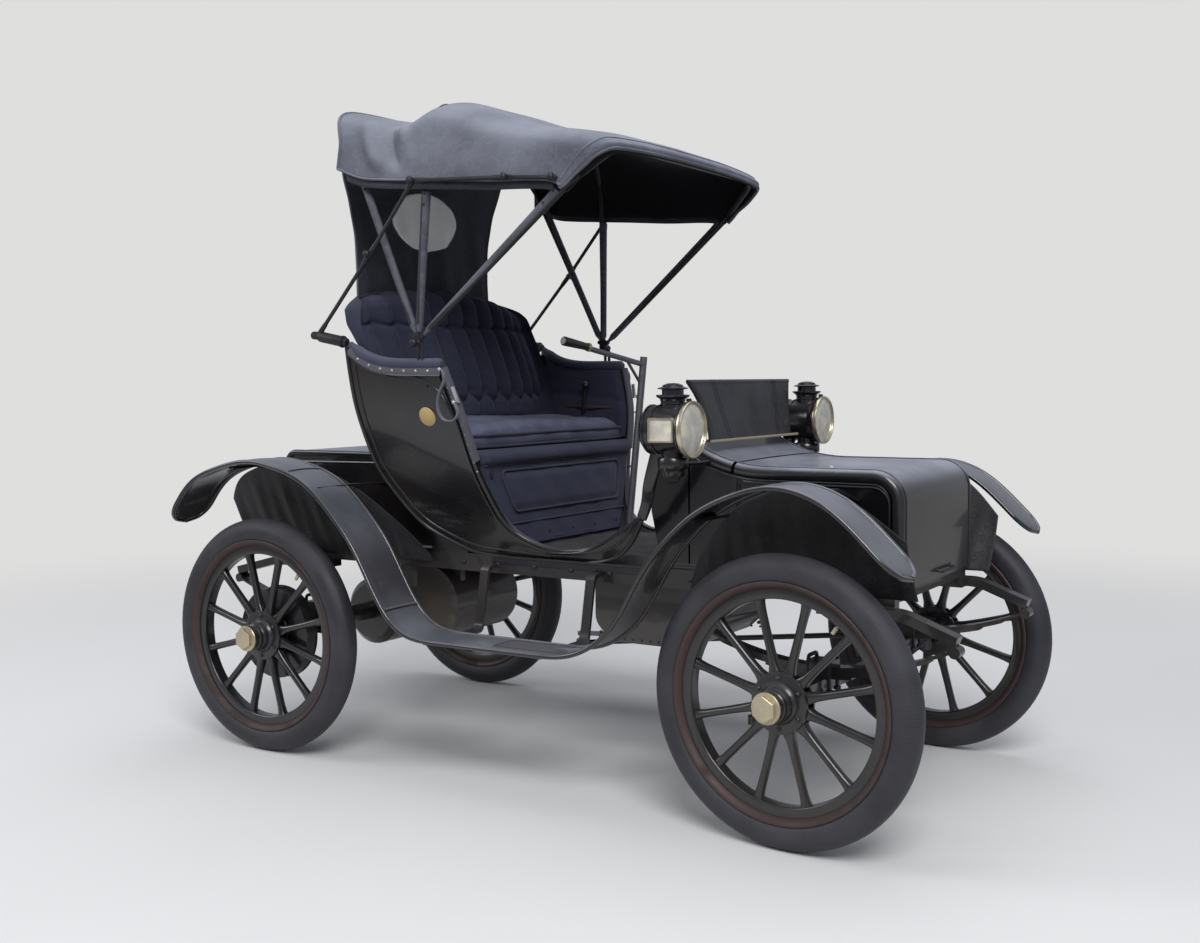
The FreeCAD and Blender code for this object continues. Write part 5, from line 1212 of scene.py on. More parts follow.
BALL_NUT = ((0, -0.008), (0.0085, -0.008), (0.0085, 0.000), (0.0060, 0.002), (0.0065, 0.004),
            (0.0105, 0.008), (0.0122, 0.0135), (0.0108, 0.0190), (0.0066, 0.0232), (0, 0.0248))
TOP_REST = ((0, 0), (0.0125, 0), (0.0140, 0.004), (0.0140, 0.012), (0.0190, 0.014), (0.0190, 0.020),
            (0.0170, 0.022), (0.0170, 0.100), (0.0155, 0.106), (0.0120, 0.108), (0.0120, 0.124),
            (0, 0.126))


def make_top_fittings(finish):
    """Sleeves over the bows' legs, wide above and drawn in to an eye at the pivot; round side
    irons with flat joints and ball nuts; the rests behind. Each is a ring carried along a line
    with its own sizes, or a profile swung round an axis."""
    legs, iron = Shape(), Shape()
    for top in ((-0.543, 0.4995, 1.845), (-0.283, 0.4985, 1.775), (0.197, 0.498, 1.745)):
        top = np.array(top)
        share = np.array((0.012, 0.03, 0.055, 0.085, 0.11, 0.13, 0.3, 0.5, 0.75, 0.93, 0.95, 0.985))
        size = np.array((0.46, 0.46, 0.48, 0.96, 0.96, 0.96, 0.97, 0.98, 1.0, 1.04, 1.12, 1.12))
        legs.run_both(ring(0.0118, 0.0118, 18), PIVOT + (top - PIVOT) * share[:, None], (0, 1, 0),
                      size=size)
        for at in (0.90, 0.97):
            spot = PIVOT + (top - PIVOT) * at + (0, 0.0105, 0)
            iron.both(dome(0.0050, 0.0040, spot, (0, 1, 0), 10))
    rail = 0.5490
    joints = np.array(((-0.690, 0.548, 1.350), (-0.470, 0.5485, 1.590), (-0.296, rail, 1.7975),
                       (0.045, 0.5455, 1.7785), (0.205, 0.5420, 1.7655)))
    for first, second in zip(joints[:-1], joints[1:]):
        share = np.array((0.0, 0.03, 0.06, 0.12, 0.16, 0.5, 0.84, 0.88, 0.94, 0.97, 1.0))
        size = np.array((1.2, 1.35, 1.35, 1.25, 1.0, 1.0, 1.0, 1.25, 1.35, 1.35, 1.2))
        iron.run_both(ring(0.0062, 0.0062, 12), first + (second - first) * share[:, None],
                      (0, 1, 0), size=size)
    for x, y, z in joints[1:]:
        iron.both(turned(BALL_NUT, (x, y + 0.002, z), (0, 1, 0), 18))
    for x, y, z in ((-0.292, 0.505, 1.7975), (0.200, 0.505, 1.766)):
        iron.run_both(ring(0.0055, count=10), bar((x, y, z), (x, rail, z), 0.01), (0, 0, 1))
    eye = ((0, -0.010), (0.0125, -0.010), (0.0135, -0.007), (0.0135, 0.007), (0.0125, 0.010),
           (0, 0.010))
    iron.both(turned(eye, PIVOT, (0, 1, 0), 20))
    for angle in (0.75, 1.571, 2.3):
        lug = PIVOT + 0.021 * np.array((np.cos(angle), 0, np.sin(angle)))
        iron.both(turned(((0, -0.007), (0.0078, -0.007), (0.0088, 0.0), (0.0078, 0.007),
                          (0, 0.007)), lug, (0, 1, 0), 14))
    big = [(radius * 1.12, along * 1.1) for radius, along in BALL_NUT]
    iron.both(turned(big, PIVOT + (0, 0.010, -0.006), (0, 1, 0), 20))
    hook = even(rounded(((-0.300, 0.530, 1.255, 0), (-0.300, 0.530, 1.300, 0.012),
                         (-0.304, 0.528, 1.322, 0)), pieces=6), 0.006)
    post = even(rounded(((-0.284, 0.5305, 1.256, 0), (-0.284, 0.5305, 1.312, 0.010),
                         (-0.302, 0.5305, 1.320, 0)), pieces=6), 0.006)
    for line in (hook, post):
        iron.run_both(ring(0.0052, 0.0045, 12, 3), line, (0, 1, 0))
    iron.both(turned(TOP_REST, (-0.583, 0.5340, 1.3244), (-0.132, 0.015, 0.0267), 24))
    eye = [(radius * 0.95, along * 0.9) for radius, along in eye]
    iron.both(turned(eye, (-0.704, 0.548, 1.349), (0, 1, 0), 18))
    piece("bow_legs", legs, finish["legs"], "car")
    piece("side_irons", iron, finish["iron"], "car", ["top_side_irons"])


# --------------------------------------------------------------- dash and lamps
DASH_FOOT, DASH_ROLL = 1.0225, 0.011


def make_dash(finish):
    """Leather over a board: it rises and widens, its face is hollow, and it turns over a round
    roll at the top; two pairs of curved seams are pressed into each face."""
    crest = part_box("dash_board")[1].z
    t = np.linspace(0, 1, 41)
    base_x, top_x, base_half, top_half = 0.541, 0.503, 0.272, 0.344
    hollow = 0.014 * np.sin(pi * t)
    rear_x = base_x + (top_x - base_x) * t + hollow * 0.6
    thick = 0.022 - 0.006 * np.sin(pi * t)
    height = DASH_FOOT + (crest - DASH_FOOT - DASH_ROLL) * t
    front_x = rear_x + thick
    turn = np.linspace(0, pi, 11)[1:-1]
    roll_x = (rear_x[-1] + front_x[-1]) / 2 - DASH_ROLL * 1.1 * np.cos(turn)
    roll_z = height[-1] + DASH_ROLL * np.sin(turn)
    x = np.r_[rear_x, roll_x, front_x[::-1]]
    z = np.r_[height, roll_z, height[::-1]]
    share = (z - DASH_FOOT) / (crest - DASH_FOOT)
    half = base_half + (top_half - base_half) * np.clip(share, 0, 1) ** 2
    v = np.linspace(-1, 1, 121)
    corner = np.sqrt(np.clip(1 - ((np.abs(v) - 0.93) / 0.07).clip(0, 1) ** 2, 0, 1))
    y = half[:, None] * v[None]
    middle = np.interp(z, height, rear_x + thick / 2)
    groove = np.zeros_like(y)
    for offset in (0.150, 0.166):
        line = offset + 0.045 * np.sin(np.clip(share, 0, 1) * pi * 0.5)
        groove += np.exp(-((np.abs(y) - line[:, None]) / 0.0038) ** 2)
    depth = (x - middle)[:, None] * (0.25 + 0.75 * corner[None])
    depth = depth - np.sign(depth) * 0.0036 * groove * (np.abs(share - 0.5) < 0.49)[:, None]
    grid = np.stack([middle[:, None] + depth, y, np.broadcast_to(z[:, None], y.shape)], -1)
    shape = Shape().add(np.concatenate([grid, grid[:1]]).transpose(1, 0, 2), caps=True)
    piece("dash_leather", shape, finish["dash"], "car", ["dash_board"], sharp=60)
    strip = bar((0.567, -0.30, 1.0262), (0.567, 0.30, 1.0262), 0.05)
    rail = Shape().run(ring(0.0028, 0.004, 8), strip, (1, 0, 0))
    rail.run(ring(0.0028, 0.004, 8), strip - (0.030, 0, 0), (1, 0, 0))
    piece("dash_foot_strip", rail, finish["brass"], "car")


LAMP_DRUM = ((0, -0.1495), (0.0300, -0.1500), (0.0560, -0.1440), (0.0620, -0.1380),
             (0.0650, -0.1330), (0.0690, -0.1320), (0.0690, -0.1270), (0.0655, -0.1250),
             (0.0655, -0.1080), (0.0685, -0.1070), (0.0685, -0.1030), (0.0655, -0.1020),
             (0.0655, -0.0400), (0.0700, -0.0300), (0.0750, -0.0240), (0.0765, -0.0180),
             (0.0700, -0.0150), (0.0640, -0.0260), (0.0400, -0.0560), (0, -0.0640))
LAMP_NECK = ((0, 0.055), (0.0335, 0.055), (0.0335, 0.068), (0.0355, 0.070), (0.0335, 0.072),
             (0.0335, 0.078), (0.0360, 0.080), (0.0345, 0.083), (0.0440, 0.089), (0.0462, 0.092),
             (0.0462, 0.095), (0.0300, 0.096), (0.0300, 0.108), (0.0335, 0.110), (0.0420, 0.111),
             (0.0420, 0.1135), (0.0300, 0.117), (0.0270, 0.122), (0.0160, 0.1262), (0, 0.1275))
LAMP_POT = ((0, -0.130), (0.0300, -0.130), (0.0330, -0.126), (0.0330, -0.112), (0.0400, -0.108),
            (0.0430, -0.102), (0.0430, -0.080), (0.0400, -0.076), (0.0300, -0.074),
            (0.0300, -0.050), (0, -0.050))
LAMP_RIM = ((0.0725, -0.0120), (0.0770, -0.0150), (0.0786, -0.0110), (0.0788, -0.0040),
            (0.0778, -0.0010), (0.0760, 0.0), (0.0740, -0.0015), (0.0730, -0.0060),
            (0.0725, -0.0120))
LAMP_WINDOW = ((1.0, 0.050), (1.0, 0.0705), (0.97, 0.0730), (0.87, 0.0730), (0.85, 0.0712),
               (0.85, 0.0690))
LAMP_LENS = ((0.0738, -0.0080), (0.0660, -0.0052), (0.0480, -0.0022), (0.0260, 0.0006), (0, 0.0016))


def make_lamp(side, name, finish):
    """A lamp's parts are profiles swung round its drum's axis or its chimney's: drum with two
    bands, rim, domed glass, neck, skirt, brim, cap and pot; the side window is a framed box."""
    middle = np.array((0.597, side * 0.453, 1.065))
    ahead, up = np.array((1.0, 0, 0)), np.array((0, 0, 1.0))
    chimney = middle - (0.066, 0, 0)
    body = Shape().add(turned(LAMP_DRUM, middle, ahead, 48))
    body.add(turned(LAMP_NECK, chimney, up, 40))
    body.add(turned(LAMP_POT, chimney, up, 40))
    bracket = even(rounded(((chimney[0] + 0.03, side * 0.292, 0.968, 0),
                            (chimney[0] + 0.02, side * 0.36, 0.968, 0.03),
                            (chimney[0], side * 0.425, 0.968, 0))), 0.008)
    body.run(ring(0.0065, count=12), bracket, (0, 0, 1))
    foot = float(tub_y(0.81)) - 0.004
    stay = softened(np.array(((0.482, side * 0.440, 1.020), (0.466, side * 0.436, 0.975),
                              (0.438, side * 0.426, 0.905), (0.412, side * (foot + 0.006), 0.850),
                              (0.390, side * foot, 0.808))), 0.025, 0.008)
    body.run(ring(0.021, 0.008, 24, 2.6), stay, (1, 0, 0), size=np.linspace(1.10, 0.75, len(stay)))
    piece("lamp_body_" + name, body, finish["lamp"], "car", ["lamp_" + name])
    trim = Shape().add(turned(LAMP_RIM, middle, ahead, 56))
    window = box_outline((0.040, 0.034), 0.005, 4)
    grid = np.stack([np.column_stack([window[:, 0] * size + chimney[0],
                                      np.full(len(window), middle[1] + side * out),
                                      window[:, 1] * size + middle[2]])
                     for size, out in LAMP_WINDOW])
    trim.add(grid)
    bail = even(rounded(((0, -0.036, -0.098, 0), (0, -0.052, -0.112, 0.01),
                         (0, -0.030, -0.146, 0.02), (0, 0.030, -0.146, 0.02),
                         (0, 0.052, -0.112, 0.01), (0, 0.036, -0.098, 0))), 0.006)
    piece("lamp_rim_" + name, trim, finish["lamp_brass"], "car")
    bail_piece = Shape().run(ring(0.0022, count=8), bail + chimney, (1, 0, 0))
    bail_piece.add(stub(0.005, -0.006, 0.006, middle + (-0.016, 0, 0.080), (1, 0, 0), 12))
    piece("lamp_bail_" + name, bail_piece, finish["iron"], "car")
    back = [(radius, along - 0.003) for radius, along in LAMP_LENS[::-1]]
    return Shape().add(turned(LAMP_LENS + tuple(back) + (LAMP_LENS[0],), middle, ahead, 48)), grid


def make_lamps(finish):
    """Both lamps, their glasses and the reflector-like panes of their side windows."""
    panes = Shape()
    for side, name in ((-1, "right"), (1, "left")):
        glass, window = make_lamp(side, name, finish)
        panes.join(glass)
        rim = window[-1]
        middle = rim[:-1].mean(0)
        rows = np.linspace(1, 0, 5)[:, None, None]
        panes.add(middle + (rim - middle) * rows + (0, side, 0) * (0.002 * (1 - rows ** 2)))
    piece("lamp_lenses", panes, finish["glass"], "car", ["lamp_glasses"])


# --------------------------------------------------- fenders, step, hood and deck
FENDER_LINE = softened(rounded(FENDER, pieces=16), 0.065, 0.012)


def fender_z(x):
    """Height of a fender's underside at a place along the car."""
    return np.interp(x, FENDER_LINE[:, 0], FENDER_LINE[:, 1])


FENDER_INNER, FENDER_OUTER = 0.502, 0.660
FENDER_BANDS = (-0.352, -0.735, 0.470)  # where iron bands cross a fender


def make_fenders(sizes, finish):
    """Sheet carried along the fender's line, a few millimetres higher in its middle, narrowed to
    round ends; a rolled bead runs all round it and a pressed line runs beside the bead."""
    line = FENDER_LINE
    length = distances(line)
    to_end = np.minimum(length, length[-1] - length)
    share = np.clip(1 - to_end / sizes.fender_tip, 0, 1)
    half = (FENDER_OUTER - FENDER_INNER) / 2 * np.sqrt(np.clip(1 - share ** 2.4, 0.0004, 1))
    slope = unit(np.gradient(line, axis=0))
    out = np.stack([-slope[:, 1], slope[:, 0]], 1)
    v = np.linspace(-1, 1, 29)
    crown = sizes.fender_crown * (1 - v ** 2)
    crease = 0.0012 * np.exp(-((np.abs(v) - 0.80) / 0.045) ** 2)
    lift = 0.0035 + crown[None] * (half / half.max())[:, None] + crease[None]
    y = (FENDER_INNER + FENDER_OUTER) / 2 + half[:, None] * v[None]
    x = line[:, :1] + out[:, :1] * lift
    z = line[:, 1:] + out[:, 1:] * lift
    sheet = np.stack([x, y, z], -1)
    edge = np.concatenate([sheet[:, 0], sheet[1:, -1][::-1]])
    bead = even(edge, 0.010, closed=True)
    for side, name in ((-1, "right"), (1, "left")):
        flip = (1, side, 1)
        piece("fender_sheet_" + name, Shape().add(sheet * flip), finish["fender"], "car",
              ["fender_" + name], wall=0.003, sharp=70)
        shape = Shape().add(carried(ring(sizes.fender_bead, count=12), bead * flip, (0, 1, 0),
                                    closed=True))
        for at in FENDER_BANDS:
            row = int(np.argmin(np.abs(line[:, 0] - at)))
            strip = sheet[row, 1:-1] * flip + np.array((out[row, 0], 0, out[row, 1])) * 0.002
            shape.run(ring(0.0055, 0.0030, 10), strip, (slope[row, 0], 0, slope[row, 1]))
        piece("fender_beads_" + name, shape, finish["fender"], "car")


def make_aprons(finish):
    """Leather hung from the fenders' inner edges to the frame: rows run from the upper edge to
    the lower, and soft vertical folds swell towards the loose lower edge."""
    replaced = ["fender_aprons"]
    for start, stop, name in ((-1.235, -0.435, "rear"), (0.505, 1.180, "front")):
        x = np.linspace(start, stop, 121)
        top = np.minimum(fender_z(x) - 0.004, 0.952)
        for side in SIDES:
            share = np.linspace(0, 1, 33)[:, None]
            low = np.minimum(0.622, top - 0.02)
            z = top + (low - top) * share
            slope_y = 0.310 + (z - 0.614) * (0.196 / 0.346)
            loose = np.sin(pi * share * 0.86) * rise(top - low, 0.03, 0.14)
            wave = 0.0045 * np.sin(x * 44 + 0.7 * np.sin(x * 13))
            wave = wave + 0.003 * np.sin(x * 97 + share * 4)
            y = slope_y + wave * loose + 0.004 * loose
            grid = np.stack([np.broadcast_to(x, z.shape), side * y, z], -1)
            made = piece("apron_" + name + ("_right" if side < 0 else "_left"), Shape().add(grid),
                         finish["apron"], "car",
                         replaced, wall=0.002, sharp=70)
            replaced = ()


def make_step(finish):
    """Ribbed mats on the steps with a stitched border: a flat pad with rounded corners."""
    low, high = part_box("step_pads")
    half = (high.x - low.x) / 2, 0.054
    middle = (low.x + high.x) / 2, 0.584
    corner = box_outline(half, 0.012, 5)
    mat, edge = Shape(), Shape()
    levels = ((1.0, 0.4420), (1.0, 0.4465), (0.985, 0.4480), (0.90, 0.4482), (0.0, 0.4482))
    grid = np.stack([np.column_stack([corner * size + middle, np.full(len(corner), z)])
                     for size, z in levels])
    mat.both(grid)
    line = even(corner * (0.955, 0.88) + middle, 0.010)
    path = np.column_stack([line, np.full(len(line), 0.4484)])
    edge.both(carried(ring(0.0028, 0.0016, 8), path, (1, 0.3, 0), closed=True))
    piece("step_mats", mat, finish["mat"], "car", ["step_pads"])
    piece("step_mat_stitching", edge, finish["piping"], "car")


HOOD_TOP, HOOD_HALF, HOOD_SIDE, BEAD_SIDE = 0.9565, 0.283, 0.297, 0.2972
SWEEP_START, SWEEP_LENGTH, SWEEP_RISE = 0.76, 0.25, 0.062


def crown(x):
    """Height of the hood's top: level in front, then swept up under the dash by the 2.4th power
    of the share of the sweep's length gone back."""
    gone = np.clip(SWEEP_START - np.asarray(x, float), 0, 0.256) / SWEEP_LENGTH
    return HOOD_TOP + SWEEP_RISE * gone ** 2.4


def make_hood(sizes, finish):
    """Lid and cowl: a shallow arch carried along the swept line of the hood's top and round its
    front corner, with a roll and a thin bead along both edges. Side panels stand under the rolls:
    straight lines ruled from the frame up to the line that lies 33.5 mm inside the hood's."""
    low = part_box("hood_lid")[0]
    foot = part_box("hood_sides")[0].z
    corner = even(rounded(((0.99, HOOD_TOP, 0), (1.1295, HOOD_TOP, 0.084), (1.1295, low.z, 0)),
                          pieces=14), 0.008)
    front = np.vstack([[(x, crown(x)) for x in np.linspace(0.6440, 0.98, 36)], corner[1:]])
    cowl = np.array([(x, crown(x)) for x in np.linspace(0.498, 0.6345, 24)])
    roll = sizes.hood_roll
    across = np.linspace(-HOOD_HALF, HOOD_HALF, 21)
    arch = 0.004 * (1 - (across / HOOD_HALF) ** 2)
    sheet = np.vstack([np.column_stack([across, arch]),
                       np.column_stack([across, arch - 0.008])[::-1], [(across[0], arch[0])]])
    for name, line, body, replaced in (("hood_cover", front, "front_lid", ["hood_lid"]),
                                       ("hood_cowl", cowl, "car", ["hood_sides"])):
        path = aside(line, 0.0)
        top = Shape().run(sheet, path, (0, 1, 0))
        for side in SIDES:
            top.run(ring(roll, count=24) + (side * HOOD_HALF, 0.0015 - roll), path, (0, 1, 0))
            top.run(ring(0.0023, count=8) + (side * (HOOD_HALF - 0.0095), 0.0012), path, (0, 1, 0))
        piece(name, top, finish["hood"], body, replaced, sharp=50)

    barrel = bar((0.640, -0.262, 0.9660), (0.640, 0.262, 0.9660), 0.03)
    piece("hood_hinge", Shape().run(ring(0.0036, count=12), barrel, (0, 0, 1)), finish["iron"],
          "car")

    def inside(line, depth):
        ahead = unit(np.gradient(line, axis=0))
        return line + np.column_stack([ahead[:, 1], -ahead[:, 0]]) * depth

    whole = np.vstack([cowl, front])
    edge = inside(whole, 0.0335)
    edge = edge[edge[:, 1] > 0.86]
    levels = np.linspace(0.860, 0.976, 9)
    rear = np.column_stack([smooth((0.860, 0.900, 0.940, 0.976), (0.372, 0.384, 0.398, 0.415),
                                   levels), levels])
    bend = softened(np.vstack([rear[-1], (0.448, 1.000), edge[0]]), 0.03, 0.006)
    upper = np.vstack([(0.371, 0.82), rear, bend[1:], edge[1:]])
    lower = np.column_stack([upper[:, 0] + 0.035 * rise(upper[:, 0], 0.45, 0.37),
                             np.full(len(upper), foot)])
    panels, beads = Shape(), Shape()
    for side in SIDES:
        rows = np.linspace(0, 1, 13)[:, None, None]
        wall = lower + (upper - lower) * rows
        skins = [aside(wall, side * y) for y in (0.2965, 0.2905)]
        panels.add(skins[0]).add(skins[1])
        panels.add(np.stack([skins[0][-1], skins[1][-1]]))
        for column in (0, -1):
            panels.add(np.stack([skins[0][:, column], skins[1][:, column]]))
        seam = inside(whole, 0.0365)
        line = aside(seam, side * BEAD_SIDE)
        line = line[(line[:, 2] > 0.70) & (line[:, 0] > 0.50)]
        beads.run(ring(0.0026, count=8), line, (0, 1, 0))
        lid_line = seam[(seam[:, 1] > 0.70) & (seam[:, 0] > 0.66)]
        shut = np.vstack([lid_line, (lid_line[-1][0] - 0.012, 0.690), (0.668, 0.690),
                          (0.655, 0.705), (0.655, 0.920)])
        beads.run(ring(0.0034, count=8), even(aside(shut, side * BEAD_SIDE), 0.01) + (0, 0, -0.008),
                  (0, 1, 0))
        post = bar((0.637, side * HOOD_SIDE, foot + 0.02), (0.639, side * HOOD_SIDE, 0.926), 0.03)
        beads.run(ring(0.0035, 0.011, 12, 3), post, (0, 1, 0))
        rail = bar((0.415, side * HOOD_SIDE, 0.664), (1.095, side * HOOD_SIDE, 0.664), 0.05)
        beads.run(ring(0.0055, 0.009, 12, 3), rail, (0, 1, 0))
        beads.run(ring(0.0050, count=10), aside(rear, side * 0.2935), (0, 1, 0))
    for x, top, width in ((0.530, float(crown(0.530)) - 0.030, 0.286),
                          (1.100, foot + 0.115, 0.262)):
        path = np.array(((x, 0, foot), (x, 0, top)))
        panels.run(ring(width, 0.005, 16, 40), path, (0, 1, 0))
    piece("hood_side_panels", panels, finish["hood_side"], "car", sharp=50)
    piece("hood_side_beads", beads, finish["moulding"], "car")
    handle = even(rounded(((1.130, -0.030, 0.668, 0), (1.150, -0.030, 0.662, 0.008),
                           (1.150, 0.085, 0.662, 0.008), (1.130, 0.085, 0.668, 0))), 0.004)
    trim = Shape().run(ring(0.0045, count=10), handle, (0, 0, 1))
    for y in (-0.030, 0.085):
        trim.add(turned(((0, 0), (0.011, 0), (0.011, 0.002), (0.006, 0.004), (0, 0.004)),
                        (1.1305, y, 0.668), (1, 0, 0), 14))
    piece("hood_handle", trim, finish["iron"], "front_lid")


DECK_HALF = 0.304


def make_deck(finish):
    """Roll and bead along the rear lid's edges, and a bead under them on the box."""
    path = even(rounded(((-0.668, 0.9615, 0), (-1.0855, 0.9615, 0.042), (-1.0855, 0.912, 0))),
                0.010)
    roll = Shape()
    for side in SIDES:
        roll.run(ring(0.0075, 0.0095, 16), aside(path, side * DECK_HALF), (0, 1, 0))
    piece("deck_rolls", roll, finish["moulding"], "rear_lid")
    beads = Shape()
    low = even(rounded(((-0.560, 0.935, 0), (-1.050, 0.930, 0.035), (-1.062, 0.690, 0))), 0.012)
    for side in SIDES:
        beads.run(ring(0.0036, count=8), aside(low, side * (DECK_HALF + 0.0005)), (0, 1, 0))
        foot = bar((-1.076, side * 0.305, 0.664), (-0.44, side * 0.305, 0.664), 0.05)
        beads.run(ring(0.009, 0.007, 10), foot, (0, 1, 0))
    piece("deck_side_beads", beads, finish["moulding"], "car")


# a spring's clip from one foot over to the other: half width, height and radius
SPRING_CLIP = ((0.306, 0, 0), (0.306, 0.085, 0.008), (0.362, 0.085, 0.008), (0.362, 0, 0))


def make_fastenings(finish):
    """Bolts, clips and strips on the running gear: domed heads and bars carried on short lines."""
    bolts, clips, strips = Shape(), Shape(), Shape()
    for side in SIDES:
        for x in np.linspace(-1.0, 1.05, 16):
            bolts.add(dome(0.0085, 0.006, (x, side * 0.3045, 0.628), (0, side, 0), 10))
        for x in (-0.923, 0.923):
            for shift in (-0.030, 0.030):
                low = 0.375 if x > 0 else 0.392
                line = even(rounded([(x + shift, side * y, low + lift, radius)
                                     for y, lift, radius in SPRING_CLIP]), 0.006)
                clips.run(ring(0.0055, count=10), line, (1, 0, 0))
                for y in (0.306, 0.362):
                    bolts.add(turned(((0, 0), (0.010, 0), (0.010, 0.009), (0, 0.010)),
                                     (x + shift, side * y, low - 0.002), (0, 0, -1), 6))
        line = bar((-0.20, side * 0.3065, 0.640), (0.40, side * 0.3065, 0.640), 0.05)
        strips.run(ring(0.0022, 0.009, 8, 4), line, (0, 1, 0))
        for x in np.linspace(-0.17, 0.37, 7):
            strips.add(dome(0.0042, 0.002, (x, side * 0.3085, 0.640), (0, side, 0), 8))
        for x, z in ((0.13, 0.425), (0.13, 0.585), (0.48, 0.425), (0.48, 0.585)):
            bolts.add(dome(0.006, 0.004, (x, side * 0.1955, z), (0, side, 0), 8))
        for x in np.linspace(0.125, 0.485, 13):
            for z in (0.412, 0.596):
                bolts.add(dome(0.0038, 0.0028, (x, side * 0.1955, z), (0, side, 0), 8))
    piece("chassis_bolts", bolts, finish["iron"], "car")
    piece("spring_clips", clips, finish["iron"], "car")
    for side in SIDES:
        for x, z in ((1.150, 0.580), (1.185, 0.575), (1.222, 0.556)):
            bolts.add(dome(0.0075, 0.0045, (x, side * 0.3505, z), (0, side, 0), 10))
    piece("sill_strips", strips, finish["iron"], "car")


FERRULE = ((0.0118, -0.004), (0.0140, -0.003), (0.0145, 0.0), (0.0140, 0.006), (0.0118, 0.007),
           (0.0118, -0.004))


def make_tiller_grip(finish):
    """Grip: a tapering black handle with a plated ring, a profile swung round the grip's line."""
    start, end = np.array((-0.034, 0.004, 1.308)), np.array((-0.062, -0.100, 1.327))
    axis = unit(end - start)
    length = float(np.linalg.norm(end - start)) + 0.004
    grip = ((0, 0), (0.0115, 0), (0.0125, 0.004), (0.0120, 0.020), (0.0135, length * 0.5),
            (0.0150, length - 0.012), (0.0150, length - 0.004), (0.0120, length), (0, length))
    shape = Shape().add(turned(grip, start, axis, 24))
    piece("tiller_grip_handle", shape, finish["grip"], "tiller_body", ["tiller_grip"])
    piece("tiller_ring", Shape().add(turned(FERRULE, start, axis, 24)), finish["brass"],
          "tiller_body")


def make_lever_parts(finish):
    """Bright ball on the control lever and a leather strap beside it, hung flat on the lining."""
    ball = (-0.337, float(tub_y(1.090, 0.016)) - 0.030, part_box("control_lever")[1].z - 0.013)
    angle = np.linspace(0, pi, 15)
    profile = np.stack([0.0142 * np.sin(angle), -0.0142 * np.cos(angle)], 1)
    piece("lever_ball", Shape().add(turned(profile, ball, (0.1, 0, 1), 24)), finish["lamp"], "car")
    wall = float(tub_y(1.108, 0.016)) - 0.022
    line = softened(np.array(((-0.440, wall + 0.004, 1.110), (-0.380, wall - 0.002, 1.106),
                              (-0.335, wall - 0.016, 1.107), (-0.290, wall - 0.004, 1.105),
                              (-0.235, wall + 0.004, 1.104))), 0.02, 0.008)
    strap = Shape().run(ring(0.0013, 0.0045, 12, 4), line, (0, 1, 0))
    piece("lever_strap", strap, finish["brown"], "car")


# ----------------------------------------------------------------------- stage
CAMERA_PLACE = (2.3305, -3.6807, 1.2009)
CAMERA_TURN = (122.257, -3.870, -0.451)  # degrees from X towards Y, up, and over to the left
FLOOR_SHOWN = 0.40  # share of the floor's pale glow that polished surfaces see
SKY = (0.90, 0.95, 1.06)
# name, place, what it faces, width across and share of the main lamp's power
LAMPS = (("key", (4.6, -6.0, 7.2), (0, 0, 0.6), 5.0, 1.0),
         ("fill", (-6.8, -4.2, 5.0), (0, 0, 0.8), 4.5, 0.30),
         ("top", (0.0, 1.0, 8.5), (0, 0, 0.0), 7.0, 0.30))


def paper(pale):
    """The floor's and room's colour."""
    return (pale, pale * 0.995, pale * 0.99, 1.0)


def make_floor(pale):
    """Lit near the car and glowing evenly further off, so that it meets the room."""
    ends = np.array((-30.0, 30.0))
    grid = np.stack([*np.meshgrid(ends, ends, indexing="ij"), np.zeros((2, 2))], -1)
    mesh = Shape().add(grid).mesh("floor")
    made = placed("floor", mesh)
    f = Finish("floor_pale")
    shade = f.mix(f.noise(1.6, 3), (pale * 0.96, pale * 0.955, pale * 0.95), paper(pale)[:3])
    lit = f.node("ShaderNodeBsdfDiffuse", inputs={"Color": shade})
    direct, through, polished = (f.node("ShaderNodeLightPath", output="Is %s Ray" % kind)
                                 for kind in ("Camera", "Transmission", "Glossy"))
    seen = direct + through + polished * FLOOR_SHOWN
    glow = f.node("ShaderNodeEmission", inputs={"Color": paper(pale), "Strength": seen.least(1.0)})
    away = f.node("ShaderNodeVectorMath", {"operation": "LENGTH"}, {0: f.coordinates()}, "Value")
    both = f.node("ShaderNodeMixShader", inputs={0: away.rise(2.0, 6.5), 1: lit, 2: glow})
    f.node("ShaderNodeOutputMaterial", inputs={"Surface": both})
    mesh.materials.append(f.material)


def make_world(strength, pale):
    """The camera sees a plain room; everything else is lit by a faint sky."""
    world = bpy.data.worlds.new("studio")
    bpy.context.scene.world = world
    world.use_nodes = True
    tree = world.node_tree
    sky = tree.nodes["Background"]
    shown, path, choice, most = (tree.nodes.new("ShaderNode" + kind) for kind in (
        "Background", "LightPath", "MixShader", "Math"))
    most.operation = "MAXIMUM"
    sky.inputs["Color"].default_value = SKY + (1,)
    sky.inputs["Strength"].default_value = strength
    shown.inputs["Color"].default_value = paper(pale)
    for source, target in ((path.outputs["Is Camera Ray"], most.inputs[0]),
                           (path.outputs["Is Transmission Ray"], most.inputs[1]),
                           (most.outputs[0], choice.inputs[0]), (sky.outputs[0], choice.inputs[1]),
                           (shown.outputs[0], choice.inputs[2]),
                           (choice.outputs[0], tree.nodes["World Output"].inputs["Surface"])):
        tree.links.new(source, target)


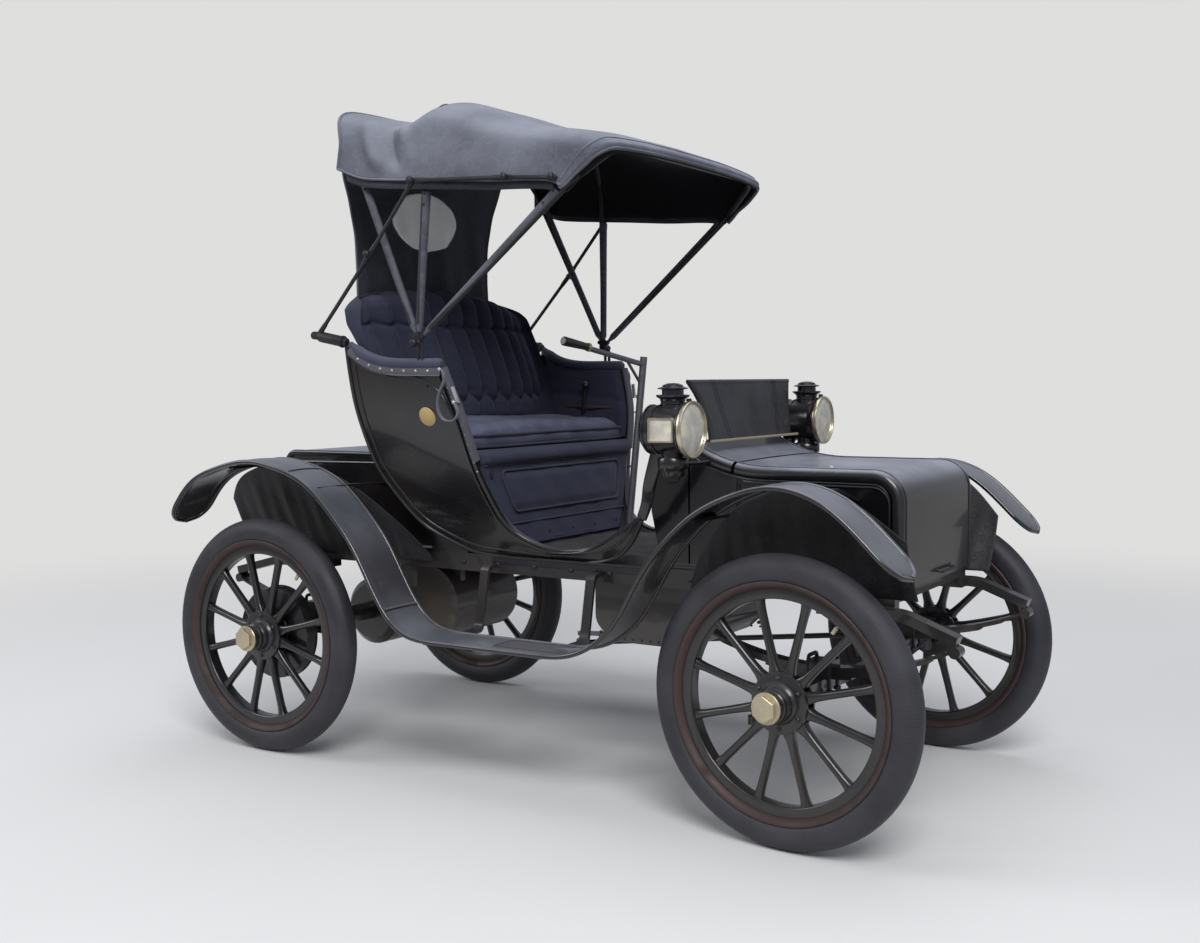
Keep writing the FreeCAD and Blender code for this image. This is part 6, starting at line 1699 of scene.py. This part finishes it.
def make_camera(lens):
    """A camera at a place, looking along a direction given by three angles."""
    camera = bpy.data.cameras.new("camera")
    camera.sensor_width, camera.lens, camera.clip_end = 36.0, lens, 200
    view = placed("camera", camera)
    yaw, pitch, roll = (radians(angle) for angle in CAMERA_TURN)
    ahead = np.array((np.cos(pitch) * np.cos(yaw), np.cos(pitch) * np.sin(yaw), np.sin(pitch)))
    right = unit(np.cross(ahead, (0, 0, 1.0)))
    over = np.cross(right, ahead)
    right, over = (np.cos(roll) * right + np.sin(roll) * over,
                   np.cos(roll) * over - np.sin(roll) * right)
    turn = Matrix(np.column_stack([right, over, -ahead]).tolist()).to_4x4()
    view.matrix_world = Matrix.Translation(CAMERA_PLACE) @ turn
    bpy.context.scene.camera = view


def make_stage(sizes):
    """Plain pale floor and world, soft lamps overhead and the camera."""
    make_floor(sizes.background)
    make_world(sizes.world_light, sizes.background)
    for name, place, aim, size, share in LAMPS:
        lamp = bpy.data.lights.new(name, "AREA")
        lamp.shape, lamp.size, lamp.energy = "DISK", size, sizes.key_light * share
        thing = placed(name, lamp)
        thing.location = place
        thing.rotation_euler = (Vector(aim) - Vector(place)).to_track_quat("-Z", "Y").to_euler()
    make_camera(sizes.camera_lens)
    bpy.context.scene.view_settings.view_transform = "Standard"


# --------------------------------------------------------------- settings and panel
def length(name, text, default):
    """A size in metres."""
    return bpy.props.FloatProperty(name=name, description=text, default=default, unit="LENGTH",
                                   precision=4)


def tint(name, text, default):
    """A colour."""
    return bpy.props.FloatVectorProperty(name=name, description=text, default=default,
                                         subtype="COLOR", min=0, max=1)


class RunaboutSizes(bpy.types.PropertyGroup):
    """Sizes of the pieces that the operators make."""

    wheel_radius: length("Wheel radius", "Outside of the tyres", 0.381)
    tyre_section: length("Tyre section", "Radius of the tyres' round section", 0.0422)
    spoke_count: bpy.props.IntProperty(name="Spokes", description="Spokes in a wheel", default=12)
    panel: length("Body panel", "Thickness of the tub's panels", 0.016)
    bead_radius: length("Body bead", "Radius of the mouldings on the body", 0.0062)
    hood_roll: length("Hood roll", "Radius of the roll along the hood's edges", 0.018)
    fender_bead: length("Fender bead", "Radius of the rolled edge of the fenders", 0.0068)
    fender_tip: length("Fender tip", "Length over which a fender's end is rounded", 0.085)
    fender_crown: length("Fender crown", "How far a fender's middle stands over its edges", 0.006)
    tuft_pitch: length("Button spacing", "Between the seat back's buttons", 0.085)
    tuft_height: length("Tuft height", "How far the tufts stand over the creases", 0.036)
    camera_lens: bpy.props.FloatProperty(name="Lens", description="Focal length in millimetres",
                                         default=40.41)
    key_light: bpy.props.FloatProperty(name="Key light", description="Power of the main lamp",
                                       default=640.0, unit="POWER")
    world_light: bpy.props.FloatProperty(name="Room light", description="Strength of the world",
                                         default=0.36)
    background: bpy.props.FloatProperty(name="Background", description="Paleness of floor and room",
                                        default=0.74)


class RunaboutColours(bpy.types.PropertyGroup):
    """Colours of the finishes."""

    body: tint("Body paint", "Paint on the tub and boxes", (0.0055, 0.0053, 0.0068))
    fender: tint("Fender paint", "Paint on the fenders and wheels", (0.0085, 0.0085, 0.0110))
    chassis: tint("Chassis paint", "Paint on the frame and running gear", (0.0075, 0.0072, 0.0088))
    dust: tint("Dust", "Dust on what faces up", (0.175, 0.185, 0.225))
    rubber: tint("Rubber", "Tyre rubber", (0.018, 0.018, 0.023))
    rim: tint("Rim", "Clincher rims", (0.060, 0.037, 0.034))
    brass: tint("Plated brass", "Caps and small trim", (0.60, 0.53, 0.38))
    lamp_brass: tint("Lamp brass", "Lamp rims and window frames", (0.62, 0.56, 0.43))
    iron: tint("Iron", "Irons, levers and bolts", (0.026, 0.026, 0.031))
    seat_back: tint("Seat cloth", "Cloth on the seat back", (0.030, 0.031, 0.060))
    seat_pale: tint("Faded cloth", "Where the cloth has faded", (0.075, 0.078, 0.115))
    cushion: tint("Cushion cloth", "Cloth on the cushion", (0.046, 0.048, 0.088))
    # The cover's base is kept dark so that its sides read as painted shade beside the pale upper
    # faces.
    top: tint("Top leather", "Cover of the folding top", (0.085, 0.090, 0.118))
    # Pale colour on the cover's upper faces: dust and painted light, the tops painted lit.
    top_dust_and_sky_light: tint("Top dust and sky light", "Dusty upper faces of the cover", (0.30, 0.32, 0.385))
    curtain: tint("Curtain", "Back curtain", (0.030, 0.032, 0.044))
    dash: tint("Dash leather", "Leather of the dash", (0.0065, 0.006, 0.0075))
    glass: tint("Lamp glass", "Lamp lenses", (0.74, 0.70, 0.55))
    mat: tint("Mats", "Step mats", (0.085, 0.083, 0.092))


def rubber(name, colour):
    """Tyre rubber: faint bands round the tread, a bloom of pale dust and fine scuffs."""
    f = Finish(name)
    cloud, fine = f.noise(6.0, 6), f.noise(180.0, 3)
    round_it = f.part(f.coordinates("UV"), "Y")
    band = (round_it * 690.0).sine() * 0.5 + 0.5
    bloom = cloud.rise(0.35, 0.7) * 0.6 + fine.rise(0.55, 0.8) * 0.25
    bloom = (bloom + f.upward().rise(0, 1) * 0.25).least(1.0)
    base = f.mix(bloom, colour, (0.048, 0.048, 0.058))
    base = f.mix(band * 0.08, base, (0.08, 0.077, 0.082))
    height = fine * 0.5 + cloud * 2.0 + band * 0.15
    return f.surface(base, (0.52 + bloom * 0.25).least(0.9), f.bump(height, 0.0005),
                     Specular_IOR_Level=0.45)


def matting(name, colour):
    """Ribbed rubber matting: small crossed ribs, worn and dusty."""
    f = Finish(name)
    x, y = (f.part(f.coordinates(), axis) for axis in "XY")
    ribs = (x * 950.0).sine() * (y * 950.0).sine()
    cloud = f.noise(13.0, 5)
    base = f.mix(ribs.rise(-0.3, 0.7) * 0.45, colour, mixed(colour, (0.25, 0.245, 0.26), 0.4))
    base = f.mix(cloud.rise(0.4, 0.7) * 0.45, base, (0.13, 0.12, 0.12))
    return f.surface(base, (0.7 + cloud * 0.2), f.bump(ribs * 0.6 + cloud, 0.0012))


def pane(name, colour):
    """Aged clear sheet: cloudy, yellowed at random and lightly crazed, with a faint painted glow
    for daylight through it.
    """
    f = Finish(name)
    cloud, fine = f.noise(9.0, 6), f.noise(70.0, 5)
    base = f.mix(cloud.rise(0.3, 0.7), colour, (0.74, 0.74, 0.70))
    base = f.mix(fine.rise(0.6, 0.75) * 0.5, base, (0.40, 0.40, 0.39))
    # The emission is a painted glow standing in for daylight through the pane; the pale base is
    # partly the sheet's own and partly painted daylight.
    return f.surface(base, (0.22 + cloud * 0.3), f.bump(cloud * 3 + fine * 0.3, 0.0015),
                     Coat_Weight=0.5, Coat_Roughness=0.12, Emission_Strength=0.10,
                     Emission_Color=(0.70, 0.72, 0.74, 1.0))


def lens(name, colour):
    """Frosted pale lamp glass with soft streaks."""
    f = Finish(name)
    cloud = f.noise(21.0, 4)
    base = f.mix(cloud.rise(0.3, 0.7), colour, (0.45, 0.44, 0.40))
    return f.surface(base, (0.12 + cloud * 0.12), f.bump(f.noise(34.0, 2), 0.0012),
                     Coat_Weight=0.8, Coat_Roughness=0.05)


# key, kind, the material's name, then what the kind takes; a word stands for a colour's setting
FINISHES = (
    ("body", paint, "body_paint", ("body", "dust", 0.55, 0.20), {}),
    # Rear deck lid: the pale colour on its upward faces is a painted sky reflection over a little
    # dust.
    ("deck", paint, "deck_paint_painted_sky", ("body", (0.33, 0.35, 0.41), 0.95, 0.28), {}),
    # Hood: the pale colour on its upward faces is dust and a painted sky reflection.
    ("hood", paint, "hood_paint_painted_sky", ((0.012, 0.0115, 0.014), (0.32, 0.34, 0.41), 0.98, 0.26), {}),
    ("hood_side", paint, "hood_side_paint", ((0.004, 0.004, 0.0055), "dust", 0.3, 0.16), {}),
    ("moulding", paint, "moulding_paint", ("body", "dust", 0.5, 0.24), {}),
    # Fenders: the pale colour on their upward faces is dust and a painted sky reflection.
    ("fender", paint, "fender_paint_dust_and_sky", ("fender", (0.25, 0.265, 0.315), 0.72, 0.18),
     dict(grime=0.1)),
    ("chassis", paint, "chassis_paint", ("chassis", (0.08, 0.078, 0.085), 0.4, 0.34, 0.4),
     dict(grime=0.15)),
    ("wheel", paint, "wheel_paint", ("body", (0.10, 0.10, 0.11), 0.15, 0.26, 0.35),
     dict(grime=0.08)),
    ("hub", paint, "hub_paint", ("chassis", (0.11, 0.10, 0.11), 0.4, 0.32, 0.3), {}),
    ("lamp", paint, "lamp_japan", ("body", (0.12, 0.12, 0.13), 0.35, 0.20, 0.2), {}),
    ("rim", metal, "rim_steel", ("rim", (0.032, 0.024, 0.022), 0.5, 0.35, 0.8), {}),
    ("brass", metal, "plated_brass", ("brass", (0.30, 0.26, 0.19), 0.34, 0.9, 0.55), {}),
    ("lamp_brass", metal, "lamp_brass", ("lamp_brass", (0.30, 0.25, 0.17), 0.24, 1.0, 0.35), {}),
    ("iron", metal, "black_iron", ("iron", (0.040, 0.036, 0.040), 0.36, 0.45, 0.5), {}),
    ("lever", metal, "worn_iron", ((0.20, 0.20, 0.225), (0.075, 0.068, 0.068), 0.36, 0.75, 0.6),
     {}),
    ("rubber", rubber, "tyre_rubber", ("rubber",), {}),
    ("back", cloth, "seat_wool", ("seat_back", "seat_pale"), dict(fade=0.45)),
    ("cushion", cloth, "cushion_wool", ("cushion", (0.15, 0.16, 0.235)), dict(fade=0.75)),
    ("arm", cloth, "arm_wool", ("cushion", (0.12, 0.125, 0.165)), dict(fade=0.75)),
    ("legs", hide, "leg_leather", ((0.055, 0.057, 0.072), (0.24, 0.25, 0.30), 0.55, 800, 0.0003,
                                   0.42, 0.6), {}),
    ("brown", hide, "brown_leather", ((0.075, 0.026, 0.016), (0.16, 0.10, 0.08), 0.4, 700, 0.0003,
                                      0.4), {}),
    ("strap", hide, "strap_leather", ((0.11, 0.115, 0.14), (0.30, 0.31, 0.35), 0.5, 700, 0.0003,
                                      0.45), {}),
    ("bright", metal, "bright_plate", ((0.62, 0.62, 0.63), (0.25, 0.24, 0.23), 0.28, 1.0, 0.35),
     {}),
    ("piping", cloth, "piping_wool", ((0.030, 0.030, 0.046), "seat_pale", 1400), dict(fade=0.5)),
    ("webbing", cloth, "edge_webbing", ((0.085, 0.085, 0.105), (0.17, 0.17, 0.20), 620, 0.001,
                                        0.6), {}),
    # Top cover and bindings: pale upward faces are dust and painted light, lit tops and darker
    # sides.
    ("top", hide, "top_leathercloth_painted_light", ("top", "top_dust_and_sky_light", 0.85, 520, 0.0004, 0.5), {}),
    ("lining", cloth, "top_lining", ((0.006, 0.006, 0.008), (0.02, 0.02, 0.025)), dict(fade=0.2)),
    ("binding", hide, "top_binding_painted_light", ((0.075, 0.078, 0.098), "top_dust_and_sky_light", 0.5, 620, 0.0003, 0.5),
     {}),
    ("curtain", hide, "curtain_leathercloth", ("curtain", (0.12, 0.125, 0.15), 0.3, 520, 0.0004,
                                               0.55), {}),
    # Window sheet: pale and faintly glowing, painted daylight through the pane.
    ("pane", pane, "window_sheet", ((0.66, 0.68, 0.68),), {}),
    ("dash", hide, "dash_leather", ("dash", (0.10, 0.10, 0.12), 0.25, 460, 0.0004, 0.20, 0.25), {}),
    ("apron", hide, "apron_leather", ((0.006, 0.006, 0.008), (0.06, 0.058, 0.06), 0.6, 420,
                                      0.0006, 0.4), {}),
    ("glass", lens, "lamp_glass", ("glass",), {}),
    ("mat", matting, "step_matting", ("mat",), {}),
    ("floor_mat", matting, "floor_matting", ((0.034, 0.031, 0.034),), {}),
    ("case", paint, "case_paint", ((0.030, 0.026, 0.027), (0.075, 0.055, 0.042), 0.6, 0.5, 0.9),
     dict(grime=0.8)),
    ("battery", paint, "battery_case", ((0.045, 0.034, 0.026), (0.10, 0.09, 0.08), 0.6, 0.6, 0.9),
     {}),
    ("grip", paint, "grip_black", ((0.012, 0.011, 0.011), (0.06, 0.045, 0.035), 0.25, 0.3, 0.5),
     {}),
    ("disc", metal, "disc_yellow", ((0.55, 0.40, 0.17), (0.36, 0.27, 0.13), 0.42, 0.15, 0.4), {}),
)


def finishes(colours):
    """Every finish, by its key."""
    chosen = {key: tuple(getattr(colours, key)) for key in colours.__annotations__}
    return {key: kind(name, *(chosen[value] if isinstance(value, str) else value
                              for value in values), **named)
            for key, kind, name, values, named in FINISHES}


WARDROBE = {}


class Maker:
    """What the operators share."""

    bl_options = {"REGISTER", "UNDO"}

    def execute(self, context):
        if not WARDROBE:
            WARDROBE.update(finishes(context.scene.runabout_colours))
        self.make(context.scene.runabout_sizes)
        return {"FINISHED"}


class RUNABOUT_OT_wheels(Maker, bpy.types.Operator):
    """Make the tyres, rims, spokes, hubs and caps"""

    bl_idname, bl_label = "runabout.wheels", "Wheels"

    def make(self, sizes):
        for corner in CORNERS:
            place = WheelPlace(corner)
            make_tyre(place, sizes, WARDROBE["rubber"])
            make_rim(place, WARDROBE)
            make_wheel_wood(place, sizes, WARDROBE["wheel"])
            make_hub(place, WARDROBE)


class RUNABOUT_OT_seat(Maker, bpy.types.Operator):
    """Make the cushion, the tufted back, the fall, the linings and the arm rolls"""

    bl_idname, bl_label = "runabout.seat", "Seat"

    def make(self, sizes):
        make_seat_cushion(WARDROBE)
        make_seat_back(sizes, WARDROBE)
        make_seat_front(WARDROBE)
        make_linings(WARDROBE)


class RUNABOUT_OT_body(Maker, bpy.types.Operator):
    """Make the mouldings on the tub, hood and rear deck"""

    bl_idname, bl_label = "runabout.body", "Body mouldings"

    def make(self, sizes):
        make_tub_sides(sizes, WARDROBE)
        make_tub_beads(sizes, WARDROBE)
        make_hood(sizes, WARDROBE)
        make_deck(WARDROBE)


class RUNABOUT_OT_top(Maker, bpy.types.Operator):
    """Make the folding top's cover, curtain, window and joints"""

    bl_idname, bl_label = "runabout.top", "Folding top"

    def make(self, sizes):
        make_roof(WARDROBE)
        make_curtain(WARDROBE)
        make_top_fittings(WARDROBE)


class RUNABOUT_OT_dash(Maker, bpy.types.Operator):
    """Make the leather dash and the lamps"""

    bl_idname, bl_label = "runabout.dash", "Dash and lamps"

    def make(self, sizes):
        make_dash(WARDROBE)
        make_lamps(WARDROBE)


class RUNABOUT_OT_fenders(Maker, bpy.types.Operator):
    """Make the fenders, aprons and step mats"""

    bl_idname, bl_label = "runabout.fenders", "Fenders"

    def make(self, sizes):
        make_fenders(sizes, WARDROBE)
        make_aprons(WARDROBE)
        make_step(WARDROBE)


class RUNABOUT_OT_fastenings(Maker, bpy.types.Operator):
    """Make the bolts, clips, strips and the parts of the levers"""

    bl_idname, bl_label = "runabout.fastenings", "Fastenings"

    def make(self, sizes):
        make_fastenings(WARDROBE)
        make_tiller_grip(WARDROBE)
        make_lever_parts(WARDROBE)


class RUNABOUT_OT_finishes(Maker, bpy.types.Operator):
    """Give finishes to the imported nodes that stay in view"""

    bl_idname, bl_label = "runabout.finishes", "Finishes"

    def make(self, sizes):
        dress(WARDROBE["body"], "rear_deck")
        dress(WARDROBE["deck"], "rear_deck_lid")
        dress(WARDROBE["chassis"], "chassis_frame", "front_springs", "rear_springs", "front_axle",
              "rear_axle", "knuckle_right", "knuckle_left", "tie_rod", "drag_link", "fender_irons")
        dress(WARDROBE["case"], "underbody_case", "drive_motor")
        dress(WARDROBE["battery"], "battery_boxes")
        dress(WARDROBE["iron"], "bow_rear", "bow_middle", "bow_front", "top_side_irons",
              "grab_handles", "control_lever")
        dress(WARDROBE["lever"], "tiller")
        dress(WARDROBE["floor_mat"], "floor_boards")
        dress(WARDROBE["back"], "seat_front_panel")


class RUNABOUT_OT_stage(Maker, bpy.types.Operator):
    """Make the floor, the lamps, the world and the camera"""

    bl_idname, bl_label = "runabout.stage", "Stage"

    def make(self, sizes):
        make_stage(sizes)


OPERATORS = (RUNABOUT_OT_finishes, RUNABOUT_OT_wheels, RUNABOUT_OT_body, RUNABOUT_OT_seat,
             RUNABOUT_OT_top, RUNABOUT_OT_dash, RUNABOUT_OT_fenders, RUNABOUT_OT_fastenings,
             RUNABOUT_OT_stage)


class RUNABOUT_PT_panel(bpy.types.Panel):
    """Lists the operators, sizes and colours"""

    bl_label, bl_idname = "Runabout", "RUNABOUT_PT_panel"
    bl_space_type, bl_region_type, bl_category = "VIEW_3D", "UI", "Runabout"

    def draw(self, context):
        for operator in OPERATORS:
            self.layout.operator(operator.bl_idname)
        for group in (context.scene.runabout_sizes, context.scene.runabout_colours):
            box = self.layout.box()
            for key in group.__annotations__:
                box.prop(group, key)


CLASSES = (RunaboutSizes, RunaboutColours) + OPERATORS + (RUNABOUT_PT_panel,)


def register():
    for kind in CLASSES:
        bpy.utils.register_class(kind)
    bpy.types.Scene.runabout_sizes = bpy.props.PointerProperty(type=RunaboutSizes)
    bpy.types.Scene.runabout_colours = bpy.props.PointerProperty(type=RunaboutColours)


def unregister():
    del bpy.types.Scene.runabout_sizes, bpy.types.Scene.runabout_colours
    for kind in reversed(CLASSES):
        bpy.utils.unregister_class(kind)


def main():
    """Registers the add-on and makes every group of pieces."""
    register()
    for operator in OPERATORS:
        family, name = operator.bl_idname.split(".")
        getattr(getattr(bpy.ops, family), name)()


if __name__ == "__main__":
    main()
